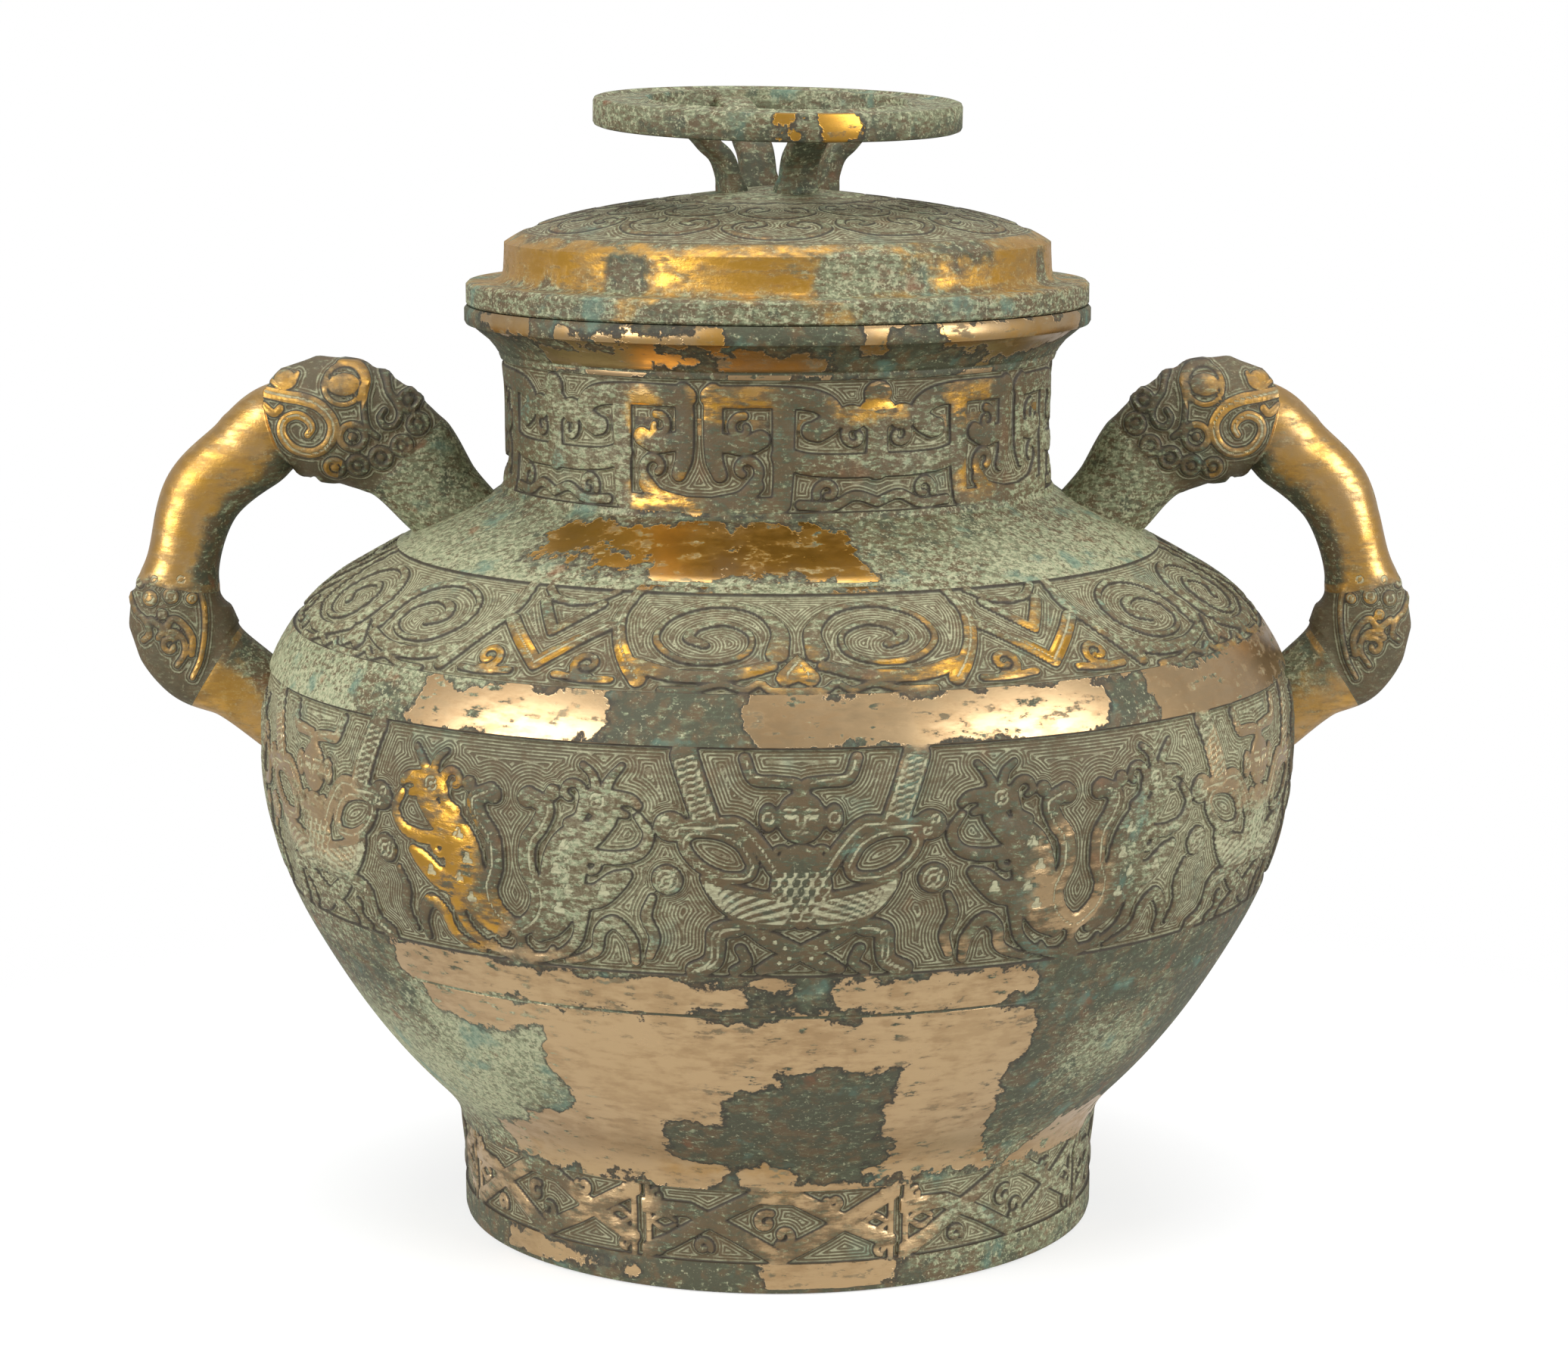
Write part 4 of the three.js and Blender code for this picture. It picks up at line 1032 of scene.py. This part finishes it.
def lid_profile():
    shares = [np.linspace(0.996, 0.94, 4), np.linspace(0.93, 0.30, 74), np.linspace(0.27, 0, 6)]
    share = np.concatenate(shares)
    dome = np.stack([share * STEP_RADIUS, STEP_TOP + dome_height(share)], -1)
    under = [(s * LIP_INNER, DOME_TOP - 4.5 - DOME_RISE * 0.8 * s**2) for s in np.linspace(0, 0.85, 9)]
    lip = [(LIP_INNER, FLANGE_TOP), (LIP_INNER, LID_BOTTOM - LIP_DEPTH), (LIP_RADIUS, LID_BOTTOM - LIP_DEPTH),
           (LIP_RADIUS, LID_BOTTOM)]
    flange = [(FLANGE_RADIUS - 0.6, LID_BOTTOM), (FLANGE_RADIUS, LID_BOTTOM + 0.6),
              (FLANGE_RADIUS, FLANGE_TOP - 1.0), (FLANGE_RADIUS - 0.9, FLANGE_TOP - 0.1)]
    tread = [(r, FLANGE_TOP) for r in np.linspace(FLANGE_RADIUS - 2, STEP_RADIUS + 3.2, 4)]
    riser = [(STEP_RADIUS + 1.4, FLANGE_TOP + 0.6), (STEP_RADIUS + 0.4, FLANGE_TOP + 1.8),
             (STEP_RADIUS, FLANGE_TOP + 3.6), (STEP_RADIUS - 0.3, STEP_TOP - 1.6)]
    return np.array([*under, *lip, *flange, *tread, *riser, *dome])


def make_lid():
    profile = lid_profile()
    angles = np.arange(LID_COLUMNS) * 360 / LID_COLUMNS
    inner = profile[1:-1]
    on_dome = (inner[:, 1] > STEP_TOP) & (inner[:, 0] < SCROLL_OUTER) & (inner[:, 0] > SCROLL_INNER)
    ground = np.full((len(inner), LID_COLUMNS), -5.0)
    ground[on_dome] = scroll_ground(angles, inner[on_dome, 0])
    made = turned("lid_dome", profile, LID_COLUMNS, lid_finish, "lid_bronze", ["lid"],
                  gilt=painted(LID_GILT, LID_BARE), pale=painted(LID_PALE), warm=painted(WARM),
                  ground=ground, chased=np.full(ground.shape, FAR))
    drop = SCROLL_DEPTH * smoothstep(0, 0.9, ground) * (ground > -4)
    places = places_of(made.data)
    places[:-2, 2] -= drop.ravel() * MM
    made.data.vertices.foreach_set("co", places.ravel())
    made.data.update()
    return made


lid_dome = make_lid()

# %% [markdown]
# The knob is a rule made solid: a small section carried round a circle. Geometry Nodes do that with a
# circle, a section curve and Curve to Mesh. The ring leans forward and a little to the right.
# %% Ring knob with Geometry Nodes
KNOB_RADIUS, KNOB_HOLE = 57, 40
KNOB_MIDDLE = (KNOB_RADIUS + KNOB_HOLE) / 2
KNOB_THICKNESS = 8.5
KNOB_Z = DOME_TOP + 17.6
KNOB_FORWARD, KNOB_SIDEWAYS = math.radians(3), math.radians(1.1)
KNOB_COLUMNS = 256
# Angle of each gilded spot and its half width in millimetres
KNOB_SPOTS = [(20, 5), (2, 3), (150, 7)]
# Radius and height of the ring's section. A swept profile's Y points down, so heights are negated below,
# and the points are taken from the last to the first, which keeps the ring's faces pointing out.
KNOB_SECTION = [
    (40, 0.6), (40.6, 0), (55.6, 0), (56.6, 0.4), (57, 1.2), (57, 7.4), (56.6, 8.4), (55.8, 8.7),
    (54.6, 8.6), (53.8, 8.1), (52.6, 7.9), (45, 7.8), (42.6, 7.9), (41.8, 8.3), (41.2, 8.7), (40.4, 8.6),
    (40, 8.1),
]


class Shaper(Nodes):
    """A geometry node group under construction. Each input has a kind and the value it will get."""

    def __init__(self, name, inputs):
        super().__init__(bpy.data.node_groups.new(name, "GeometryNodeTree"))
        sockets = self.tree.interface
        sockets.new_socket("Geometry", in_out="OUTPUT", socket_type="NodeSocketGeometry")
        self.values = {}
        for label, (kind, value) in inputs.items():
            made = sockets.new_socket(label, in_out="INPUT", socket_type="NodeSocket" + kind)
            self.values[made.identifier] = value
        start = self.tree.nodes.new("NodeGroupInput")
        self.given = {label: Value(self, start.outputs[label]) for label in inputs}

    def geometry_of(self, label):
        """The geometry of the object that an input names."""
        return self.node("GeometryNodeObjectInfo", {}, {"Object": self.given[label]}, "Geometry")

    def finish(self, geometry):
        realized = self.node("GeometryNodeRealizeInstances", {}, {"Geometry": geometry})
        sockets = {"Geometry": realized, "Material": self.given["Finish"]}
        self.end("NodeGroupOutput", "Geometry", self.node("GeometryNodeSetMaterial", {}, sockets))


def store_fields(mesh):
    """Gilt, pale and warm values for a piece of the knob: green, with a few small gilded spots."""
    x, y, z = places_of(mesh).T / MM
    angle = np.degrees(np.arctan2(x, -y))
    gilt = np.full(len(x), -float(FIELD_LIMIT))
    for centre, half_width in KNOB_SPOTS:
        inside = half_width - np.radians(np.abs((angle - centre + 180) % 360 - 180)) * KNOB_RADIUS
        upper = z - KNOB_Z - 1.5 + y * math.sin(-KNOB_FORWARD)
        spot = np.minimum(inside, upper)
        gilt = np.maximum(gilt, np.where(np.hypot(x, y) > KNOB_RADIUS - 2, spot, -FIELD_LIMIT))
    values = {
        "gilt": np.clip(gilt, -FIELD_LIMIT, 9),
        "pale": np.where(z > KNOB_Z, 2.0, -8.0),
        "warm": np.full(len(x), 9.0),
    }
    store(mesh, values)


def settle(name, shaper, place=None):
    """Runs a node group on an empty mesh and keeps the result as a plain piece."""
    host = add_object(name + "_host", bpy.data.meshes.new(name + "_host"))
    modifier = host.modifiers.new("shape", "NODES")
    modifier.node_group = shaper.tree
    for identifier, value in shaper.values.items():
        modifier[identifier] = value
    bpy.context.view_layer.update()
    evaluated = host.evaluated_get(bpy.context.evaluated_depsgraph_get())
    mesh = bpy.data.meshes.new_from_object(evaluated)
    host.modifiers.remove(modifier)
    bpy.data.objects.remove(host)
    if place is not None:
        mesh.transform(place)
    mesh.name = name
    store_fields(mesh)
    soften(mesh)
    made = add_object(name, mesh)
    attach(made, "root")
    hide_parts("lid")
    print(name, len(mesh.vertices), "points", len(mesh.polygons), "faces")
    return made


def section_curve():
    """The ring's section as a closed curve object, drawn in the XY plane."""
    curve = bpy.data.curves.new("knob_section", "CURVE")
    curve.dimensions = "2D"
    spline = curve.splines.new("POLY")
    spline.points.add(len(KNOB_SECTION) - 1)
    for point, (radius, height) in zip(spline.points, reversed(KNOB_SECTION)):
        point.co = ((radius - KNOB_MIDDLE) * MM, -height * MM, 0, 1)
    spline.use_cyclic_u = True
    return add_object("knob_section", curve)


def make_knob():
    section = section_curve()
    shaper = Shaper("ring_knob", {
        "Section": ("Object", section),
        "Radius": ("Float", KNOB_MIDDLE * MM),
        "Columns": ("Int", KNOB_COLUMNS),
        "Finish": ("Material", knob_finish),
    })
    sockets = {"Resolution": shaper.given["Columns"], "Radius": shaper.given["Radius"]}
    circle = shaper.node("GeometryNodeCurvePrimitiveCircle", {}, sockets, "Curve")
    sockets = {"Curve": circle, "Profile Curve": shaper.geometry_of("Section")}
    shaper.finish(shaper.node("GeometryNodeCurveToMesh", {}, sockets, "Mesh"))
    lean = Matrix.Rotation(KNOB_SIDEWAYS, 4, "Y") @ Matrix.Rotation(KNOB_FORWARD, 4, "X")
    made = settle("lid_knob", shaper, Matrix.Translation((0, 0, KNOB_Z * MM)) @ lean)
    bpy.data.objects.remove(section)
    return made


lid_knob = make_knob()
low, high = np.array(lid_knob.bound_box).min(0), np.array(lid_knob.bound_box).max(0)
print("knob box", low.round(4), high.round(4))

# %% [markdown]
# Four struts of one pattern stand round the axis, so one is made and Geometry Nodes turn its
# copies about the axis. It leaves the dome steeply and flares out into the ring.
# %% Struts
STRUT_WIDTH, STRUT_THICKNESS = 12, 5.8
STRUT_COUNT = 4
STRUT_TURN = math.radians(22)
STRUT_FOOT = 14.6
STRUT_SIDES = 20
STRUT_RISE = KNOB_Z + KNOB_THICKNESS / 2 - DOME_TOP


def strut_points():
    foot, end, rise = STRUT_FOOT, KNOB_HOLE + 4, STRUT_RISE
    path = smooth_path([(foot, -4), (foot + 3.4, 0.35 * rise), (foot + 7.9, 0.57 * rise),
                        (foot + 12.9, 0.79 * rise), (0.3 * foot + 0.7 * end, 0.94 * rise), (end, rise)], 9)
    tangent = np.gradient(path, axis=0)
    tangent /= np.linalg.norm(tangent, axis=1)[:, None]
    normal = np.stack([-tangent[:, 1], tangent[:, 0]], -1)
    angle = np.arange(STRUT_SIDES) / STRUT_SIDES * 2 * math.pi
    square = lambda value: np.sign(value) * np.abs(value) ** 0.35
    across = STRUT_WIDTH / 2 * square(np.cos(angle))
    deep = STRUT_THICKNESS / 2 * square(np.sin(angle))
    swell = 0.95 + 0.22 * smoothstep(0.15 * rise, -2, path[:, 1])
    out = path[:, :1] + normal[:, :1] * deep[None, :] * swell[:, None]
    up = path[:, 1:] + normal[:, 1:] * deep[None, :] * swell[:, None]
    side = across[None, :] * swell[:, None]
    return np.stack([side, -out, DOME_TOP + up], -1)


def strut_mesh():
    points = strut_points()
    rows, columns = points.shape[:2]
    faces = skin(rows, columns).tolist()
    faces.append(range(columns - 1, -1, -1))
    faces.append(range((rows - 1) * columns, rows * columns))
    mesh = bpy.data.meshes.new("strut")
    mesh.from_pydata((points.reshape(-1, 3) * MM).tolist(), [], faces)
    mesh.update()
    return add_object("strut", mesh)


def make_struts():
    pattern = strut_mesh()
    shaper = Shaper("copies_round_axis", {
        "Pattern": ("Object", pattern),
        "Count": ("Int", STRUT_COUNT),
        "First Turn": ("Float", STRUT_TURN),
        "Finish": ("Material", knob_finish),
    })
    count = shaper.given["Count"]
    turn = shaper.node("GeometryNodeInputIndex", {}, {}) * (2 * math.pi) / count + shaper.given["First Turn"]
    sockets = {
        "Points": shaper.node("GeometryNodePoints", {}, {"Count": count}),
        "Instance": shaper.geometry_of("Pattern"),
        "Rotation": shaper.node("ShaderNodeCombineXYZ", {}, {"Z": turn}),
    }
    shaper.finish(shaper.node("GeometryNodeInstanceOnPoints", {}, sockets))
    made = settle("lid_struts", shaper)
    bpy.data.objects.remove(pattern)
    lean_with_knob(made.data)
    return made


def lean_with_knob(mesh):
    """Raises or lowers the struts' tops so that they follow the leaning ring."""
    for vertex in mesh.vertices:
        share = max(0, (vertex.co.z / MM - DOME_TOP) / STRUT_RISE)
        slope = vertex.co.y * math.tan(KNOB_FORWARD) - vertex.co.x * math.tan(KNOB_SIDEWAYS)
        vertex.co.z += share * slope
    mesh.update()


lid_struts = make_struts()

# %% [markdown]
# Each handle is one casting: a beast's head on the neck's root bites a plain arch, which ends in a small
# mask above the lower root. It is a swept body with an oval section, and its carving is drawn in the
# handle's own plane and pressed out on both sides.
# %% Handle: the swept body
# Distance from the jar's axis and height of the centre line, then half depth and half width. A station
# is a place along this list: 0 at the upper root, 4 at the mouth, 8 at the mask, 11 at the lower root.
HANDLE_ROUTE = [
    (92, 213, 13, 12), (105.5, 227, 14, 12.5), (118, 242, 17, 14), (136, 251, 20, 17),
    (154, 250, 18.3, 16.5), (165, 241.5, 13.3, 12.5), (179.9, 227.6, 12.4, 12), (186.6, 206.5, 11.3, 12),
    (188.3, 190.5, 16.2, 13.5), (181.8, 177, 15.9, 13.5), (169.3, 168.4, 12.8, 12.3), (154, 157, 12.8, 12.3),
]
HEAD_END = 5.2
MASK_AT = (7.25, 9.6)
HANDLE_ROWS, HANDLE_COLUMNS = 300, 132
HANDLE_DEPTH = 0.9
HANDLE_REACH = {"left": 205.2, "right": 202.0}
DRAWN_REACH, LOWER_ROOT, UPPER_ROOT = 205, (161.6, 163), (104.8, 224)
# The head seen from the side, ending in a short upright snout over the rolled jaw
HEAD_OUTLINE = [
    (146, 280), (152.4, 267), (156.6, 262.2), (158.6, 257.5), (157.6, 252), (155.6, 245), (152.4, 239.4),
    (146.4, 235.4), (137, 231), (118, 230), (98, 238), (90, 262), (100, 282), (135, 286),
]
HEAD_DEPTH, HEAD_WIDTH = 17.6, 16.2
ARCH_DEPTH, ARCH_WIDTH = 13.4, 12.5


def handle_grid():
    """The handle's body as drawn: stations, places, how far out each point lies, and the head's share."""
    route = smooth_path(HANDLE_ROUTE, 60)
    stations = np.linspace(0, len(HANDLE_ROUTE) - 1, len(route))
    near = np.concatenate([np.linspace(0, 3.78, 90), np.linspace(3.8, 4.75, 96),
                           np.linspace(4.77, len(HANDLE_ROUTE) - 1, HANDLE_ROWS - 186)])
    x, z, depth, width = (np.interp(near, stations, column)[:, None] for column in route.T)
    slope_x, slope_z = np.gradient(x[:, 0]), np.gradient(z[:, 0])
    length = np.hypot(slope_x, slope_z)
    out_x, out_z = (-slope_z / length)[:, None], (slope_x / length)[:, None]
    angle = np.arange(HANDLE_COLUMNS) / HANDLE_COLUMNS * 2 * math.pi
    plump = lambda value: np.sign(value) * np.abs(value) ** 0.92
    deep, wide = plump(np.cos(angle))[None, :], plump(np.sin(angle))[None, :]
    station = near[:, None] + 0 * deep
    by_mouth = smoothstep(3.3, 3.9, station) * smoothstep(HEAD_END, HEAD_END - 0.5, station)
    arch_depth = depth + by_mouth * (ARCH_DEPTH - depth)
    head = Drawing(x + out_x * arch_depth * deep, z + out_z * arch_depth * deep)
    in_head = smoothstep(0.5, -0.7, head.outline(HEAD_OUTLINE))
    depth = depth + by_mouth * (ARCH_DEPTH + in_head * (HEAD_DEPTH - ARCH_DEPTH) - depth)
    width = width + by_mouth * (ARCH_WIDTH + in_head * (HEAD_WIDTH - ARCH_WIDTH) - width)
    in_head = in_head * (station < HEAD_END)
    x, z = x + out_x * depth * deep, z + out_z * depth * deep
    return station, x, width * wide, z, deep + 0 * station, in_head


# %% [markdown]
# The head: a jaw that rolls into a great spiral, a lip that sweeps over it, an eye and a nostril like
# beads, a double brow line, and a mane of ringed bosses behind the cheek.
# %% Handle: the carving
# Place and radius of each boss or disc
MANE = [
    (114.1, 258.2, 3.5), (111.2, 251.2, 3.3), (116.0, 244.6, 3.3), (122.6, 240.9, 3.6), (129.8, 238.4, 3.4),
    (137.0, 237.6, 3.4),
]
MASK_DISCS = [
    (194, 202.5, 1.7), (185.6, 202.6, 2.0), (195.6, 196.6, 2.4), (188.8, 197.5, 2.4), (191.6, 191.8, 1.7),
    (199.4, 201.0, 1.6), (182.4, 196.6, 1.6),
]


def draw_head(d):
    lip = [(157.8, 261.2, 3), (151.6, 260.0, 3.2), (145.8, 259.2, 3.4), (140.5, 256.9, 3.2),
           (136.8, 251.8, 3.2), (138.2, 245.8, 3.2), (143.0, 242.6, 3.0), (149.0, 243.6, 2.8),
           (152.6, 248.2, 2.6), (152.2, 252.4, 2.4), (148.6, 254.4, 2.4), (145.0, 253.2, 2.2),
           (143.4, 250.6, 2.0), (144.8, 248.2, 1.8)]
    d.stroke(lip)
    d.line([(x, y) for x, y, _ in lip], 0.5)
    d.stroke([(158.4, 257.2), (155.2, 254.9), (153.2, 256.4)], 2.0)
    d.lift(d.oval(133.8, 263.6, 4.6, 3.2), d.oval(152.2, 265.4, 3.2, 2.2))
    d.lift(d.circle(133.8, 263.6, 6.0, 1.1))
    d.stroke([(148.2, 267), (149.6, 263.6), (153, 262.6), (156.2, 264.4)], 1.0)
    d.lift(d.circle(131.0, 247.6, 3.9, 1.7), d.oval(131.0, 247.6, 1.3, 1.3))
    d.stroke([(135.5, 270), (129.6, 269.0), (126.6, 265.2), (127.3, 260.0), (127.2, 254.6), (126.2, 250.0),
                    (123.4, 247.4)], 1.4)
    d.stroke([(123.6, 269.5), (121.2, 265.0), (120.0, 261.2), (118.0, 258.4), (116.6, 255.0), (117.6, 251.4),
                    (121.0, 250.6), (122.6, 253.4), (121.2, 255.6)], 1.4)
    for x, z, radius in MANE:
        d.lift(d.circle(x, z, radius - 0.7, 1.4), d.oval(x, z, 1.2, 1.2))


def draw_mask(d):
    for x, z, radius in MASK_DISCS:
        d.lift(d.oval(x, z, radius, radius))
        d.chase(d.circle(x, z, radius * 0.55, 0.4))
    d.stroke([(203.5, 197.0), (200.6, 192.2), (197.4, 189.6), (196.0, 185.4), (198.4, 183.0)], 1.7)
    d.stroke([(195.4, 190.0), (191.2, 187.6), (188.2, 190.4), (184.9, 188.4), (182.4, 184.2),
              (182.8, 179.2)], 1.7)
    d.stroke([(193.2, 184.2), (191.6, 186.0), (187.8, 186.2), (185.2, 183.8), (184.9, 179.6),
              (187.6, 175.4)], 1.5)
    d.lift(d.curl(189.4, 181.6, 3.0, 1.0, 120, -300, 1.5))
    d.stroke([(181.2, 202.0), (179.0, 195.0), (178.6, 187.0), (180.0, 178.0), (183.0, 171.5)], 1.3)


def handle_relief(station, x, z, in_head):
    """Height, ground and cut lines of the handle's carving at each point."""
    d = Drawing(x, z)
    draw_head(d)
    draw_mask(d)
    on_head = smoothstep(1.75, 1.95, station) * in_head
    mask_start, mask_end = MASK_AT
    on_mask = smoothstep(mask_start, mask_start + 0.25, station)
    on_mask = on_mask * smoothstep(mask_end, mask_end - 0.3, station)
    share = np.maximum(on_head, on_mask)
    raised = smoothstep(0.1, -0.6, d.ground)
    sunk = smoothstep(0, 0.9, d.ground) * smoothstep(7, 2.5, d.ground)
    height = 0.45 * raised - 0.75 * sunk
    return height * share, np.where(share > 0.5, np.minimum(d.ground, 2.2), -5), d.chased


print("handle carving:", len(MANE), "mane bosses and", len(MASK_DISCS), "mask discs")

# %% Handle: gilding and assembly
def handle_gilt(station, deep, in_head):
    """The arch is gilded outside and bare inside, the head and the lower root only in places."""
    arch = np.minimum((0.5 - in_head) * 16, (MASK_AT[0] + 0.12 - station) * 22)
    arch = np.where(station > 3.8, np.minimum(arch, (deep + 0.42) * 12), -14)
    arch = np.minimum(arch, (1.05 - deep) * 26)
    head = np.where((station > 2.7) & (in_head > 0.5), 1.0, -9) - np.abs(station - 3.85) * 1.7
    root = np.minimum((deep + 0.15) * 7, (station - 8.95) * 4)
    mask = np.where((station > MASK_AT[0]) & (station < MASK_AT[1]), -1.0, -12)
    inside = np.maximum(np.maximum(arch, root), np.maximum(head, mask))
    return np.clip(inside, -12, 12)


def make_handle(side):
    station, x, across, z, deep, in_head = handle_grid()
    lift, ground, chased = handle_relief(station, x, z, in_head)
    points = np.stack([x, across, z], -1)
    along = np.gradient(points, axis=0)
    round_it = np.roll(points, -1, 1) - np.roll(points, 1, 1)
    normal = np.cross(round_it, along)
    normal /= np.linalg.norm(normal, axis=2)[..., None]
    centre = points.mean(1, keepdims=True)
    if ((points - centre) * normal).sum() < 0:
        normal = -normal
    points = points + normal * (lift * HANDLE_DEPTH)[..., None]
    drawn_root = np.interp(points[..., 2], [LOWER_ROOT[1], UPPER_ROOT[1]], [LOWER_ROOT[0], UPPER_ROOT[0]])
    out = points[..., 0] - drawn_root
    stretch = (HANDLE_REACH[side] - LOWER_ROOT[0]) / (DRAWN_REACH - LOWER_ROOT[0])
    points[..., 0] = drawn_root + np.where(out > 0, out * stretch, out)
    gilt = handle_gilt(station, deep, in_head)
    pale = 5 - smoothstep(1.6, 2.3, station) * 13 + smoothstep(MASK_AT[1], MASK_AT[1] + 0.3, station) * 10
    if side == "left":
        points[..., 0] *= -1
    rows, columns = points.shape[:2]
    flat = points.reshape(-1, 3)
    ends = np.array([flat[:columns].mean(0), flat[-columns:].mean(0)])
    face_sets = capped_skin(rows, columns)
    if side == "right":
        face_sets = [faces[:, ::-1] for faces in face_sets]
    warm = np.full(gilt.shape, 3.0)
    values = {"ground": ground, "chased": chased, "gilt": gilt, "pale": pale, "warm": warm}
    values = {key: np.append(value.ravel(), [0, 0]) for key, value in values.items()}
    return piece("handle_" + side + "_cast", np.vstack([flat, ends]), face_sets, handle_finish,
                 "handle_bronze", ["handle_" + side], **values)


handle_left = make_handle("left")
handle_right = make_handle("right")


def volume(made):
    """Signed volume in litres, above zero when the faces point out."""
    mesh = made.data
    mesh.calc_loop_triangles()
    corners = np.zeros(len(mesh.loop_triangles) * 3, np.int32)
    mesh.loop_triangles.foreach_get("vertices", corners)
    a, b, c = places_of(mesh)[corners.reshape(-1, 3)].transpose(1, 0, 2)
    return float((a * np.cross(b, c)).sum() / 6 * 1000)


made_pieces = [jar_wall, belly_band, shoulder_band, neck_band, foot_band, lid_dome, lid_knob, lid_struts,
               handle_left, handle_right]
print("volumes in litres", {made.name: round(volume(made), 3) for made in made_pieces})

# %% [markdown]
# The floor is a plain white sheet that fades out round the jar, so its far edge never shows. It glows a
# little, which lightens the shadow and fills the bowl's underside.
# %% Floor and finish
FLOOR_SIZE = 3
FADE_FROM, FADE_TO = 0.09, 0.42
SHADOW_SHARE = 0.56
FLOOR_GLOW = 0.22


def make_floor():
    half = FLOOR_SIZE / 2
    mesh = bpy.data.meshes.new("floor")
    places = [(-half, -half, 0), (half, -half, 0), (half, half, 0), (-half, half, 0)]
    mesh.from_pydata(places, [], [(0, 1, 2, 3)])
    pale = Finish("floor_white")
    away = pale.node("ShaderNodeVectorMath", {"operation": "LENGTH"}, {0: pale.place}, 1)
    sockets = {"Base Color": (0.95, 0.95, 0.95, 1), "Roughness": 0.9, "Emission Color": (1, 1, 1, 1),
               "Emission Strength": FLOOR_GLOW, "Alpha": away.rise(FADE_TO, FADE_FROM) * SHADOW_SHARE}
    mesh.materials.append(pale.done(sockets))
    made = add_object("floor", mesh)


make_floor()
